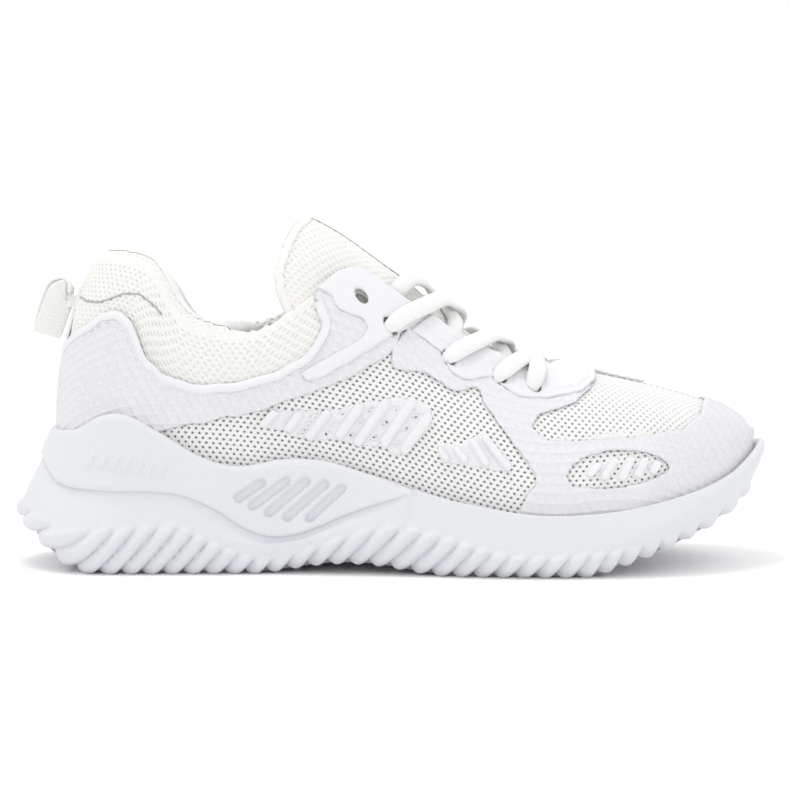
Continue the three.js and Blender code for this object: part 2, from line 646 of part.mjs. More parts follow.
const laceRuns = [toeStrand(LACE_ROWS[0])];
for (const [, side] of SIDES) {
  const crossingHeight = 2 * side; // one strand of each crossing passes over the other
  for (const row of LACE_ROWS) laceRuns.push(underRun(row, side));
  for (let i = 1; i < LACE_ROWS.length; i++) {
    laceRuns.push(overStrand(LACE_ROWS[i - 1], LACE_ROWS[i], side, crossingHeight));
  }
}
addPiece("lace", laceRuns.reduce((all, one) => all.add(one)), LACE_WHITE);

// ---------- pull tab ----------
// A loop of tape, drawn out from the heel and twisted; turn 0 is its stitched end and turn 0.5 its fold.
const TAB_TWIST = 1.35; // radians between the stitched end and the fold
const TAB_WIDTH = 11.6;
const TAB_THICKNESS = 1.3;
const TAB_OPENING = 7; // between the middles of its two plies
const TAB_LINE = new THREE.SplineCurve(
  [[21.6, 109.6], [16, 107.8], [12.3, 101.5], [10, 95], [8.2, 88.5]].map(([x, z]) => new THREE.Vector2(x, z)),
);
function tabFrame(turn) {
  const share = (1 - Math.cos(turn * Math.PI * 2)) / 2;
  const middle = TAB_LINE.getPoint(share);
  const away = TAB_LINE.getTangent(share);
  const along = new THREE.Vector3(away.x, 0, away.y);
  const twist = TAB_TWIST * ease(0.05, 0.6, share);
  const wide = new THREE.Vector3(0, Math.cos(twist), 0)
    .addScaledVector(new THREE.Vector3(-away.y, 0, away.x), Math.sin(twist));
  const flat = along.clone().cross(wide);
  const centre = new THREE.Vector3(middle.x, 0, middle.y)
    .addScaledVector(flat, (TAB_OPENING / 2) * Math.sin(turn * Math.PI * 2));
  return { centre, wide };
}
function tabSection(turn) {
  const step = 0.005;
  const { centre, wide } = tabFrame(turn);
  const path = tabFrame(turn + step).centre.sub(tabFrame(turn - step).centre);
  const through = path.cross(wide).normalize();
  return [[-1, -1], [1, -1], [1, 1], [-1, 1]].map(([across, out]) => centre.clone()
    .addScaledVector(wide, (across * TAB_WIDTH) / 2)
    .addScaledVector(through, (out * TAB_THICKNESS) / 2)
    .toArray());
}
const TAB_STEPS = 24;
const tabRings = Array.from({ length: TAB_STEPS }, (_, i) => tabSection(i / TAB_STEPS));
addPiece("pull_tab", loft(tabRings, true), CREAM_MESH);

// ---------- the origin: the middle of the footprint, on the ground ----------
const footprint = new THREE.Box3().setFromObject(shoe);
const middle = footprint.getCenter(new THREE.Vector3());
shoe.position.set(-middle.x, -middle.y, -footprint.min.z);

export default shoe;
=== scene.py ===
import math

import bmesh
import bpy
import numpy as np
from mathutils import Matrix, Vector


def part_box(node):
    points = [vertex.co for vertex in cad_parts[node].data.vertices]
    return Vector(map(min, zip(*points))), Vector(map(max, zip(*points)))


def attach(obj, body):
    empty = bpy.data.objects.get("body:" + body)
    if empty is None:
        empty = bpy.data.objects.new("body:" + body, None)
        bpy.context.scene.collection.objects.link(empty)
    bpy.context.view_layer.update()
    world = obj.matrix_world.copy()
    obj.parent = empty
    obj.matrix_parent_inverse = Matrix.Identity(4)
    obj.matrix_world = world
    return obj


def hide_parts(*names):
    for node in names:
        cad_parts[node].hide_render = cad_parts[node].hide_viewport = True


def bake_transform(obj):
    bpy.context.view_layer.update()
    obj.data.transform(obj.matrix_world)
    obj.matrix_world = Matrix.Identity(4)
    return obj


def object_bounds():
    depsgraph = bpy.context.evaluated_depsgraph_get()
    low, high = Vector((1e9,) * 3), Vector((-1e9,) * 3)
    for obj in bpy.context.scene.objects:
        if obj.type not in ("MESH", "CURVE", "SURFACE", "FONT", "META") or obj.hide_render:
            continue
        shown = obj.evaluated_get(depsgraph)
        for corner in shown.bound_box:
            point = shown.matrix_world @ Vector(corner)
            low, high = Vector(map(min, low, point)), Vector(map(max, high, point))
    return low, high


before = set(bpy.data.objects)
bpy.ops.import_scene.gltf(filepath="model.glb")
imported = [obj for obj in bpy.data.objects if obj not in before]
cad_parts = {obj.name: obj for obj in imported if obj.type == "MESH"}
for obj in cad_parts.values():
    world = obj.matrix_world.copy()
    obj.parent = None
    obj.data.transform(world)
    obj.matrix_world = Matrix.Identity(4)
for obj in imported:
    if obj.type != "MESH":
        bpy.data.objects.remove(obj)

CAD_BOX = [list(corner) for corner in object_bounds()]

# The script works in the shoe's own millimetres: x from the heel end, y from the heel's middle line,
# z from the ground. The frame's origin is the middle of the footprint.
MM = 0.001
MIDSOLE_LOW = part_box("midsole")[0]
SOLE_BACK = 0.3  # where the midsole starts
FRAME_MIDDLE = 1.17  # where the frame's middle line runs
FORM_TO_FRAME = np.array([MIDSOLE_LOW.x / MM - SOLE_BACK, -FRAME_MIDDLE, 0.0])


# ---------- camera, floor and light ----------
CAMERA_DISTANCE, CAMERA_HEIGHT_ANGLE, CAMERA_TURN = 1.9, 6, 0.0
SENSOR_WIDTH = 36
VIEW_WIDTH = 0.3165
FLOOR_HALF = 60


def aim(obj, target):
    obj.rotation_euler = (Vector(target) - obj.location).to_track_quat("-Z", "Y").to_euler()


def add_camera():
    low, high = (Vector(corner) for corner in CAD_BOX)
    middle = (low + high) / 2
    elevation, azimuth = math.radians(CAMERA_HEIGHT_ANGLE), math.radians(CAMERA_TURN)
    camera = bpy.data.cameras.new("camera")
    camera.sensor_width = SENSOR_WIDTH
    camera.lens = SENSOR_WIDTH * CAMERA_DISTANCE / VIEW_WIDTH
    camera.clip_end = 200
    obj = bpy.data.objects.new("camera", camera)
    bpy.context.scene.collection.objects.link(obj)
    away = Vector((math.sin(azimuth) * math.cos(elevation), -math.cos(azimuth) * math.cos(elevation),
                   math.sin(elevation)))
    target = Vector((middle.x + 0.0005, middle.y, middle.z - 0.0005))
    obj.location = target + away * CAMERA_DISTANCE
    aim(obj, target)
    bpy.context.scene.camera = obj


def add_light(name, location, size, power):
    light = bpy.data.lights.new(name, "AREA")
    light.shape = "DISK"
    light.size = size
    light.energy = power
    obj = bpy.data.objects.new(name, light)
    bpy.context.scene.collection.objects.link(obj)
    obj.location = location
    aim(obj, (0, 0, 0.05))


def add_floor():
    mesh = bpy.data.meshes.new("floor")
    corners = [(x * FLOOR_HALF, y * FLOOR_HALF, 0) for x, y in ((-1, -1), (1, -1), (1, 1), (-1, 1))]
    mesh.from_pydata(corners, [], [(0, 1, 2, 3)])
    obj = bpy.data.objects.new("floor", mesh)
    bpy.context.scene.collection.objects.link(obj)
    material = bpy.data.materials.new("floor_paper")
    material.use_nodes = True
    shader = material.node_tree.nodes["Principled BSDF"]
    shader.inputs["Base Color"].default_value = (0.97, 0.97, 0.97, 1)
    shader.inputs["Roughness"].default_value = 0.9
    mesh.materials.append(material)


add_camera()
add_floor()
add_light("key", (-0.3, -0.15, 1.5), 0.6, 5.0)
add_light("fill", (1.1, -0.9, 0.8), 1.2, 0.6)
add_light("back", (0.2, 1.2, 1.3), 1.2, 1.5)
world = bpy.data.worlds.new("studio")
world.use_nodes = True
world.node_tree.nodes["Background"].inputs["Color"].default_value = (1, 1, 1, 1)
world.node_tree.nodes["Background"].inputs["Strength"].default_value = 1.03
bpy.context.scene.world = world
bpy.context.scene.view_settings.view_transform = "Standard"


# ---------- smooth curves through chosen points ----------
def smooth(*pairs):
    """A function that runs smoothly through the given (x, value) pairs, and is level beyond them."""
    xs = np.array([p[0] for p in pairs], float)
    ys = np.array([p[1] for p in pairs], float)
    last = len(xs) - 1
    before = np.maximum(np.arange(last + 1) - 1, 0)
    after = np.minimum(np.arange(last + 1) + 1, last)
    slopes = (ys[after] - ys[before]) / (xs[after] - xs[before])

    def value(x):
        x = np.clip(np.asarray(x, float), xs[0], xs[-1])
        i = np.clip(np.searchsorted(xs, x, side="right") - 1, 0, last - 1)
        span = xs[i + 1] - xs[i]
        t = (x - xs[i]) / span
        rise = ys[i + 1] - ys[i]
        bend0 = slopes[i] * span - rise
        bend1 = rise - slopes[i + 1] * span
        return ys[i] + rise * t + t * (1 - t) * (bend0 * (1 - t) + bend1 * t)

    return value


def ease(start, stop, x):
    """0 before the start, 1 after the stop, and smooth between them."""
    t = np.clip((np.asarray(x, float) - start) / (stop - start), 0, 1)
    return t * t * (3 - 2 * t)


def cubic(p0, p1, p2, p3, t):
    """A place from p1 to p2 on the smooth line that also passes through p0 and p3."""
    return 0.5 * (2 * p1 + (p2 - p0) * t + (2 * p0 - 5 * p1 + 4 * p2 - p3) * t ** 2
                  + (3 * p1 - p0 - 3 * p2 + p3) * t ** 3)


def curve_through(points, steps):
    """A smooth line through points of any size, evenly stepped between them."""
    points = np.array(points, float)
    padded = np.vstack([2 * points[0] - points[1], points, 2 * points[-1] - points[-2]])
    at = np.linspace(0, len(points) - 1, steps + 1)
    i = np.minimum(at.astype(int), len(points) - 2)
    t = (at - i)[:, None]
    return cubic(padded[i], padded[i + 1], padded[i + 2], padded[i + 3], t)


def line_of(points, steps):
    return [list(p) for p in curve_through(points, steps)]


def run_length(points):
    """How far along a line each of its points lies."""
    return np.concatenate([[0], np.cumsum(np.linalg.norm(np.diff(points, axis=0), axis=1))])


def read_at(at, places, rows, **options):
    """The values of each column of some rows at new places between them."""
    rows = np.asarray(rows)
    return np.stack([np.interp(at, places, rows[:, k], **options) for k in range(rows.shape[1])], 1)


def even_line(points, spacing):
    points = np.asarray(points, float)
    length = run_length(points)
    return read_at(np.linspace(0, length[-1], max(int(length[-1] / spacing), 2) + 1), length, points)


# ---------- the foot form, as in the CAD ----------
FORM_BACK, FORM_FRONT = 16, 293
HEEL_ARC, TOE_ARC = 36, 52
WIDEST_SHARE = 0.28
FORM_DEPTH = 26
WIDEST_AT = 0.7
form_lateral = smooth((16, 34), (45, 34), (80, 33), (115, 33), (150, 37), (185, 44), (212, 47),
                      (245, 46), (293, 41))
form_medial = smooth((16, 34), (45, 34), (80, 32), (115, 29), (150, 32), (185, 41), (212, 45),
                     (245, 44), (293, 40))
form_middle = smooth((120, 0), (200, 1), (260, 5), (293, 8))
form_top = smooth((16, 148), (70, 150), (105, 144), (130, 135), (153, 121), (170, 106), (192, 90.5),
                  (212, 80.5), (235, 75), (258, 69.5), (278, 63), (289, 57), (293, 52))
section_power = smooth((110, 2.2), (135, 2.05), (152, 1.8), (172, 1.62), (206, 1.62), (235, 1.85), (275, 2.2))
bed_height = smooth((16, 30), (60, 27), (110, 24), (160, 18), (205, 14), (240, 18), (265, 26),
                    (282, 34), (293, 40))
heel_lean = smooth((45, 0), (64, 0), (77, 1.2), (90, 4), (104, 8), (114, 11.5), (126, 15))


def plan_station(s, back, front, heel_arc, toe_arc):
    """The x and the share of the full width at a station: 0 to 1 is the heel's arc, 2 to 3 the toe's."""
    heel = np.clip(s, 0, 1) * math.pi / 2
    toe = np.clip(3 - s, 0, 1) * math.pi / 2
    middle = back + heel_arc + (front - toe_arc - back - heel_arc) * np.clip(s - 1, 0, 1)
    x = np.where(s < 1, back + heel_arc * (1 - np.cos(heel)),
                 np.where(s > 2, front - toe_arc * (1 - np.cos(toe)), middle))
    share = np.where(s < 1, np.sin(heel), np.where(s > 2, np.sin(toe), 1.0))
    return x, share


def form_point(s, side, across, depth):
    """Points of the form in millimetres; across runs 0 on the ridge to 1 below the bottom edge."""
    values = (np.asarray(v, float) for v in (s, side, across, depth))
    s, side, across, depth = np.broadcast_arrays(*values)
    x, share = plan_station(s, FORM_BACK - depth, FORM_FRONT + depth, HEEL_ARC, TOE_ARC)
    bottom, top, power = bed_height(x), form_top(x), section_power(x)
    widest = bottom + (top - bottom) * WIDEST_SHARE
    angle = math.pi / 2 * (1 - np.clip(across / WIDEST_AT, 0, 1))
    lift = np.where(across < WIDEST_AT, np.sin(angle) ** (2 / power), 0)
    spread = np.where(across < WIDEST_AT, np.abs(np.cos(angle)) ** (2 / power), 1)
    sunk = np.clip((across - WIDEST_AT) / (1 - WIDEST_AT), 0, 1)
    z0 = widest + (top - widest) * lift - (widest - bottom + FORM_DEPTH) * sunk
    half = np.where(side < 0, form_lateral(x), form_medial(x)) + depth
    lean = heel_lean(z0) * (1 - ease(FORM_BACK, FORM_BACK + 70, x))
    y = form_middle(x) + side * half * spread * (1 - 0.1 * sunk ** 2) * share
    return np.stack([x + lean, y, z0 + depth * lift], -1)


class Unrolled:
    """One side of the form laid out flat, in millimetres: u from the heel end, v down from the ridge."""

    def __init__(self, side):
        self.side = side
        self.s = np.linspace(0, 3, 721)
        self.a = np.sin(np.linspace(0, math.pi / 2, 261)) ** 1.6
        self.points = form_point(self.s[:, None], side, self.a[None, :], 0)
        walls = [form_point(self.s, one, WIDEST_AT, 0) for one in (-1, 1)]
        steps = sum(np.linalg.norm(np.diff(wall, axis=0), axis=1) for wall in walls) / 2
        self.u = np.concatenate([[0], np.cumsum(steps)])
        steps = np.linalg.norm(np.diff(self.points, axis=1), axis=2)
        self.v = np.concatenate([np.zeros((len(self.s), 1)), np.cumsum(steps, axis=1)], axis=1)
        self.widest = np.array([np.interp(WIDEST_AT, self.a, row) for row in self.v])

    def station(self, u):
        return np.interp(u, self.u, self.s)

    def widest_v(self, u):
        """How far below the ridge the wall is widest."""
        return np.interp(u, self.u, self.widest)

    def across(self, s, v):
        at = np.clip(s / 3 * (len(self.s) - 1), 0, len(self.s) - 1.001)
        i = at.astype(int)
        part = (at - i)[:, None]
        out = np.empty(len(s))
        for start in range(0, len(s), 4000):
            pick = slice(start, start + 4000)
            rows = self.v[i[pick]] * (1 - part[pick]) + self.v[i[pick] + 1] * part[pick]
            j = np.clip((rows < v[pick, None]).sum(1), 1, rows.shape[1] - 1)
            n = np.arange(len(j))
            low, high = rows[n, j - 1], rows[n, j]
            share = np.clip((v[pick] - low) / np.maximum(high - low, 1e-9), 0, 1)
            out[pick] = self.a[j - 1] * (1 - share) + self.a[j] * share
        return out

    def flat(self, outline):
        """The (u, v) place of side-view points (x, z); a point above the ridge counts as on it."""
        out = []
        for x, z in outline:
            x = min(x, FORM_FRONT)
            z = min(z, float(form_top(x)))
            gap = (self.points[..., 0] - x) ** 2 + (self.points[..., 2] - z) ** 2
            i, j = np.unravel_index(np.argmin(gap), gap.shape)
            out.append((self.u[i], self.v[i, j]))
        return np.array(out)


UNROLLED = {-1: Unrolled(-1), 1: Unrolled(1)}


def place(side, u, v, depth):
    """Points of the form from flat places; past the heel line or the ridge they cross to the other side."""
    u, v, depth = (np.asarray(w, float).ravel() for w in np.broadcast_arrays(u, v, depth))
    out = np.empty((len(u), 3))
    own = (u >= 0) == (v >= 0)
    for part, which in ((own, side), (~own, -side)):
        if part.any():
            layout = UNROLLED[which]
            s = layout.station(np.abs(u[part]))
            across = layout.across(s, np.abs(v[part]))
            out[part] = form_point(s, which, across, depth[part])
    return out


# ---------- meshes ----------
def new_object(name, points, faces, material, smooth_shade=True):
    """An object from points in the shoe's millimetres."""
    mesh = bpy.data.meshes.new(name)
    corners = ((np.asarray(points) + FORM_TO_FRAME) * MM).tolist()
    mesh.from_pydata(corners, [], [list(map(int, f)) for f in faces])
    mesh.validate()
    mesh.polygons.foreach_set("use_smooth", [smooth_shade] * len(mesh.polygons))
    mesh.materials.append(material)
    obj = bpy.data.objects.new(name, mesh)
    bpy.context.scene.collection.objects.link(obj)
    return obj


def welded(points, faces, size=0.02):
    """Joins points that lie on each other, and drops faces that lose their area."""
    keys = np.round(np.asarray(points) / size).astype(np.int64)
    _, first, back = np.unique(keys, axis=0, return_index=True, return_inverse=True)
    back = back.ravel()
    kept = []
    for face in faces:
        ring = []
        for k in back[list(face)]:
            if k not in ring:
                ring.append(k)
        if len(ring) > 2:
            kept.append(ring)
    return np.asarray(points)[first], kept


def joined(parts):
    """The points and faces of several parts as one."""
    points, faces = [], []
    count = 0
    for some, rings in parts:
        points.append(some)
        faces += [tuple(k + count for k in ring) for ring in rings]
        count += len(some)
    return np.vstack(points), faces


def grid_faces(rows, columns, offset=0, closed=False):
    faces = []
    across = columns if closed else columns - 1
    for r in range(rows - 1):
        for c in range(across):
            d = (c + 1) % columns
            faces.append((offset + r * columns + c, offset + r * columns + d,
                          offset + (r + 1) * columns + d, offset + (r + 1) * columns + c))
    return faces


def thicken(obj, thickness):
    modifier = obj.modifiers.new("thickness", "SOLIDIFY")
    modifier.thickness = thickness * MM
    modifier.offset = -1
    return obj


def recalculated(obj):
    """Turns every face of a piece outwards."""
    work = bmesh.new()
    work.from_mesh(obj.data)
    bmesh.ops.recalc_face_normals(work, faces=work.faces)
    work.to_mesh(obj.data)
    work.free()
    return obj


def inside(points, outline):
    """Which flat points lie in an outline."""
    result = np.zeros(len(points), bool)
    x, y = points[:, 0], points[:, 1]
    for (x0, y0), (x1, y1) in zip(outline, np.roll(outline, -1, axis=0)):
        if y0 == y1:
            continue
        crosses = (y0 > y) != (y1 > y)
        result ^= crosses & (x < (x1 - x0) * (y - y0) / (y1 - y0) + x0)
    return result


def nearest_on(points, outline, closed=True):
    """The nearest place on an outline to each point, and how far it is."""
    best = np.full(len(points), 1e9)
    nearest = points.copy()
    ends = np.roll(outline, -1, axis=0) if closed else outline[1:]
    for p0, p1 in zip(outline, ends):
        line = p1 - p0
        length = (line ** 2).sum()
        if length < 1e-12:
            continue
        t = np.clip(((points - p0) @ line) / length, 0, 1)
        foot = p0 + t[:, None] * line
        far = np.linalg.norm(points - foot, axis=1)
        closer = far < best
        best[closer] = far[closer]
        nearest[closer] = foot[closer]
    return nearest, best


def panel_part(side, outlines, step, depth_at):
    """One side's share of a panel: a fine grid inside the first outline and outside the others."""
    flats = flats_of(side, outlines(side))
    low, high = flats[0].min(0), flats[0].max(0)
    us = np.arange(np.floor(low[0] / step), np.ceil(high[0] / step) + 2) * step
    vs = np.arange(np.floor(low[1] / step), np.ceil(high[1] / step) + 2) * step
    us = us[us <= UNROLLED[side].u[-1] + step]
    grid_u, grid_v = np.meshgrid(us, vs, indexing="ij")
    flat = np.stack([grid_u.ravel(), grid_v.ravel()], 1)
    faces = np.array(grid_faces(len(us), len(vs)))
    centres = flat[faces].mean(1)
    keep = inside(centres, flats[0])
    for hole in flats[1:]:
        keep &= ~inside(centres, hole)
    faces = faces[keep]
    used = np.bincount(faces.ravel(), minlength=len(flat))
    edge = (used > 0) & (used < 4)
    inner_line = (flat[:, 1] < 1e-6) | (flat[:, 0] < 1e-6)
    for outline in flats:
        foot, far = nearest_on(flat, outline)
        pull = edge & (far < 1.5 * step) & ~(inner_line & (far < 1e-3))
        moved = foot[pull]
        keep_v = flat[pull, 1] < 1e-6
        moved[keep_v, 1] = 0
        keep_u = flat[pull, 0] < 1e-6
        moved[keep_u, 0] = 0
        flat[pull] = moved
    picked = np.unique(faces)
    renumber = np.full(len(flat), -1)
    renumber[picked] = np.arange(len(picked))
    flat = flat[picked]
    open_edges = []
    for outline in flats:
        foot, far = nearest_on(flat, outline)
        on_ridge = (foot[:, 1] < 0.05) | (foot[:, 0] < 0.05)
        open_edges.append(np.where(on_ridge, 9.0, far))
    from_edge = np.min(open_edges, axis=0)
    points = place(side, flat[:, 0], flat[:, 1], depth_at(flat, from_edge))
    faces = renumber[faces]
    return points, (faces if side < 0 else faces[:, ::-1])


def panel(name, outlines, sides, depth_at, thickness, material, step=0.9):
    """A panel of the upper on one side or both, joined on the ridge and the heel line."""
    points, faces = welded(*joined(panel_part(side, outlines, step, depth_at) for side in sides))
    return thicken(recalculated(new_object(name, points, faces, material)), thickness)


def rolled(depth, edge=0.9, drop=0.45):
    """A film's depth, rounded down towards its edge."""
    return lambda flat, far: depth - drop * (1 - np.clip(far / edge, 0, 1)) ** 2


# ---------- finishes ----------
def material(name, color, roughness):
    made = bpy.data.materials.new(name)
    made.use_nodes = True
    shader = made.node_tree.nodes["Principled BSDF"]
    shader.inputs["Roughness"].default_value = roughness
    shader.inputs["Base Color"].default_value = (*color, 1)
    return made


GRAIN_DETAIL, GRAIN_HEIGHT = 4, 0.0002


def with_grain(made, color, darker, scale, bump):
    """Adds a fine noise that varies the colour a little and roughens the surface."""
    tree = made.node_tree
    shader = tree.nodes["Principled BSDF"]
    place_node = tree.nodes.new("ShaderNodeTexCoord")
    noise = tree.nodes.new("ShaderNodeTexNoise")
    noise.inputs["Scale"].default_value = scale
    noise.inputs["Detail"].default_value = GRAIN_DETAIL
    ramp = tree.nodes.new("ShaderNodeValToRGB")
    ramp.color_ramp.elements[0].position = 0.35
    ramp.color_ramp.elements[1].position = 0.65
    ramp.color_ramp.elements[0].color = (*darker, 1)
    ramp.color_ramp.elements[1].color = (*color, 1)
    bumps = tree.nodes.new("ShaderNodeBump")
    bumps.inputs["Strength"].default_value = bump
    bumps.inputs["Distance"].default_value = GRAIN_HEIGHT
    tree.links.new(place_node.outputs["Object"], noise.inputs["Vector"])
    tree.links.new(noise.outputs["Fac"], ramp.inputs["Fac"])
    tree.links.new(ramp.outputs["Color"], shader.inputs["Base Color"])
    tree.links.new(noise.outputs["Fac"], bumps.inputs["Height"])
    tree.links.new(bumps.outputs["Normal"], shader.inputs["Normal"])
    return made


def grained(name, color, darker, roughness, scale, bump):
    return with_grain(material(name, color, roughness), color, darker, scale, bump)


MESH_WHITE = grained("mesh_white", (0.86, 0.86, 0.85), (0.81, 0.81, 0.8), 0.85, 2600, 0.25)
MESH_CREAM = grained("mesh_cream", (0.86, 0.852, 0.825), (0.8, 0.79, 0.76), 0.9, 2600, 0.3)
FILM = grained("film_white", (0.77, 0.77, 0.8), (0.74, 0.74, 0.77), 0.36, 900, 0.08)
FILM_SMOOTH = grained("film_smooth", (0.79, 0.79, 0.815), (0.77, 0.77, 0.795), 0.33, 500, 0.05)
FOAM = grained("foam_white", (0.72, 0.73, 0.76), (0.69, 0.7, 0.73), 0.62, 1500, 0.35)
# The tread's dark grey is painted shade: it stands for the shaded underside of a white sole.
TREAD_PAINTED_SHADE = grained("tread_painted_shade_grey", (0.42, 0.42, 0.43), (0.37, 0.37, 0.38), 0.8, 1200, 0.3)
LINING = grained("lining_grey", (0.86, 0.86, 0.85), (0.8, 0.8, 0.79), 0.95, 2200, 0.3)
INNER = grained("inner_white", (0.9, 0.9, 0.895), (0.84, 0.84, 0.835), 0.95, 1800, 0.3)
LACE = grained("lace_white", (0.87, 0.87, 0.865), (0.81, 0.81, 0.8), 0.85, 3000, 0.35)
TAPE = grained("tape_white", (0.87, 0.87, 0.85), (0.8, 0.8, 0.77), 0.85, 2600, 0.3)
STITCH = grained("stitch_white", (0.9, 0.9, 0.9), (0.8, 0.8, 0.8), 0.7, 4000, 0.3)


def finished(obj, node_or_nodes, body="root"):
    """Hides the CAD pieces that a piece stands in for, if any, and attaches the piece to the body it rides
    on.
    """
    nodes = [node_or_nodes] if isinstance(node_or_nodes, str) else list(node_or_nodes)
    if nodes:
        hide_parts(*nodes)
    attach(obj, body)
    return obj


# ---------- outlines shared by several pieces, in the side view ----------
RIM = [[22, 112], [26, 120.5], [32, 125.8], [39, 127], [46, 126.2], [52, 124.3], [56.5, 119.5], [60.5, 111.5],
       [66, 103.8], [75, 99], [86, 96.2], [95, 96], [104, 100.5], [113, 106.8], [119, 110.8]]
COLLAR_LINE = [[14, 82], [24.6, 91.8], [36, 100], [42, 101], [47, 96], [52.4, 84], [63, 75.4], [80, 73],
               [99.6, 76.5], [115.6, 84.7], [123, 96], [121, 104], [118.5, 109]]
EYESTAY_TOP = [[119, 110.6], [127, 116.8], [133, 118.3], [140, 117], [152, 108], [163, 100]]
QUARTER_LOWER_EDGE = [[-10, 50], [40, 51], [58, 56], [78, 60.5], [99, 65], [124, 74], [143, 83], [150, 88]]
cradle_top = smooth((8, 54), (16, 54.6), (24, 56.5), (34, 62.2), (44, 62.6), (57, 56), (74, 46),
                    (88, 42.3), (106, 45), (122, 44.5), (142, 38.7), (162, 32.4), (180, 28.4),
                    (205, 24.6), (230, 25), (250, 28),
                    (271, 33), (284, 38), (291, 42.5), (296, 46.5), (299, 49))
cradle_bottom = smooth((9, 44), (16, 36), (30, 34.3), (56, 33.6), (68, 31.5), (80, 26), (92, 18.4),
                       (102, 15.6), (114, 17.4), (133, 25.3), (152, 31.5), (160, 34))
CRADLE_FRONT = 156
SIDES = (("lateral", -1), ("medial", 1))
OVERLAY_DEPTH, EYESTAY_DEPTH = 1.1, 2.2


# ---------- sole unit ----------
SOLE_LENGTH = 298.8
ground_shape = smooth((0, 17), (6, 13), (13, 8), (20, 3), (30, 0), (92, 0), (123, 4), (141, 4), (172, 0),
                      (224, 0), (240, 4.6), (262, 12.5), (281, 21), (292, 29), (298, 38))
flare_height = smooth((0, 22), (20, 15), (60, 15), (100, 12), (140, 16), (190, 9), (225, 10), (260, 22),
                      (290, 36), (299, 44))
rib_top = smooth((0, 27), (8, 23), (18, 18.2), (39, 18.6), (57, 19.7), (67, 18.7), (74, 15), (84, 10.5),
                 (96, 7), (104, 6.8), (118, 11), (135, 17), (150, 19.6), (162, 18), (176, 14.3),
                 (190, 10.4), (202, 8.8), (217, 9.4), (235, 11), (250, 13.8), (265, 18), (276, 23),
                 (287, 29), (299, 38))


def ground_line(x):
    return np.maximum(ground_shape(x), 0)


def sole_band(x):
    return np.where(x < CRADLE_FRONT, cradle_bottom(x), (cradle_top(x) + flare_height(x)) / 2 + 1)


# Each level of the sole's wall: its back end, its front end, how far it stands outside the form, its height.
SOLE_LEVELS = [
    (6, 289, -1, ground_line),
    (2, 294.5, 5.5, lambda x: ground_line(x) + 4),
    (0.3, 298.2, 7.5, lambda x: np.maximum(flare_height(x), ground_line(x) + 6)),
    (8.5, SOLE_LENGTH, 6.2, sole_band),
    (13, 298.3, 5, cradle_top),
]


def sole_level(level, s, side):
    back, front, out, height = SOLE_LEVELS[level]
    x, share = plan_station(s, back, front, HEEL_ARC, TOE_ARC + 4)
    half = np.where(side < 0, form_lateral(x), form_medial(x)) + out
    return np.stack([x, form_middle(x) + side * half * share, height(x) + 0 * x], -1)


def sole_wall(s, side, rise):
    """The plain wall: rise runs 0 at the tread to 4 at the top edge, smoothly through the five levels."""
    levels = np.stack([sole_level(i, s, side) for i in range(5)])
    padded = np.concatenate([2 * levels[:1] - levels[1:2], levels, 2 * levels[-1:] - levels[-2:-1]])
    i = np.clip(rise.astype(int), 0, 3)
    t = (rise - i)[:, None]
    n = np.arange(len(s))
    return cubic(*(padded[i + k, n] for k in range(4)), t)


def perimeter(step):
    """Stations and sides right round the sole from the heel by the lateral side to the toe and back."""
    s = np.linspace(0, 3, 1201)
    loop_s, loop_side = [], []
    for side in (-1, 1):
        line = sole_level(2, s, side)
        length = run_length(line[:, :2])
        count = int(length[-1] / step)
        at = np.interp(np.linspace(0, length[-1], count + 1), length, s)
        loop_s.append(at[:-1] if side < 0 else at[:0:-1])
        loop_side.append(np.full(count, side))
    return np.concatenate(loop_s), np.concatenate(loop_side)


RIB_PITCH = 8.15
RIB_SLANT = 0.85
RIB_DEPTH = 3.0


def rib_relief(points):
    """How far the ribs stand out of the wall: slanted rounded ridges, fading out at their top line."""
    x, z = points[:, 0], points[:, 2]
    slant = np.where(x < 190, RIB_SLANT, RIB_SLANT - 0.4 * ease(190, 285, x))
    ends = ease(0, 40, x) * (1 - ease(270, 299, x))
    along = x + 6 * (1 - ends) * np.abs(points[:, 1]) / 40 * np.where(x < 150, 1, -1)
    phase = (along - slant * (z - ground_line(x))) / RIB_PITCH
    ridge = np.abs(np.sin(math.pi * phase)) ** 0.75
    top = rib_top(x)
    fade = 1 - ease(-1.6, 1.4, z - top + 1.5 * (1 - ridge))
    return (ridge - 0.35) * fade


def wall_normals(rows, columns, points):
    """The way out of a closed wall at each of its points."""
    grid = points.reshape(rows, columns, 3)
    along = np.roll(grid, -1, 0) - np.roll(grid, 1, 0)
    up = np.gradient(grid, axis=1)
    normal = np.cross(along, up)
    normal /= np.maximum(np.linalg.norm(normal, axis=2, keepdims=True), 1e-9)
    outward = grid - grid.mean(axis=(0, 1))
    flip = np.sign((normal[..., :2] * outward[..., :2]).sum(-1).mean())
    return (normal * flip).reshape(-1, 3)


def towards_middle(points):
    """The way in plan from each point to the middle line, and round the heel and toe to their centres."""
    x = np.clip(points[:, 0], 52, 243)
    way = np.stack([x, form_middle(x)], 1) - points[:, :2]
    return way / np.linalg.norm(way, axis=1, keepdims=True)


def lips(edge, inward, steps):
    """Rings that turn in from an edge by steps of (inwards, upwards)."""
    rings = []
    for step, lift in steps:
        ring = edge.copy()
        ring[:, :2] += inward * step
        ring[:, 2] += lift
        rings.append(ring[:, None])
    return rings


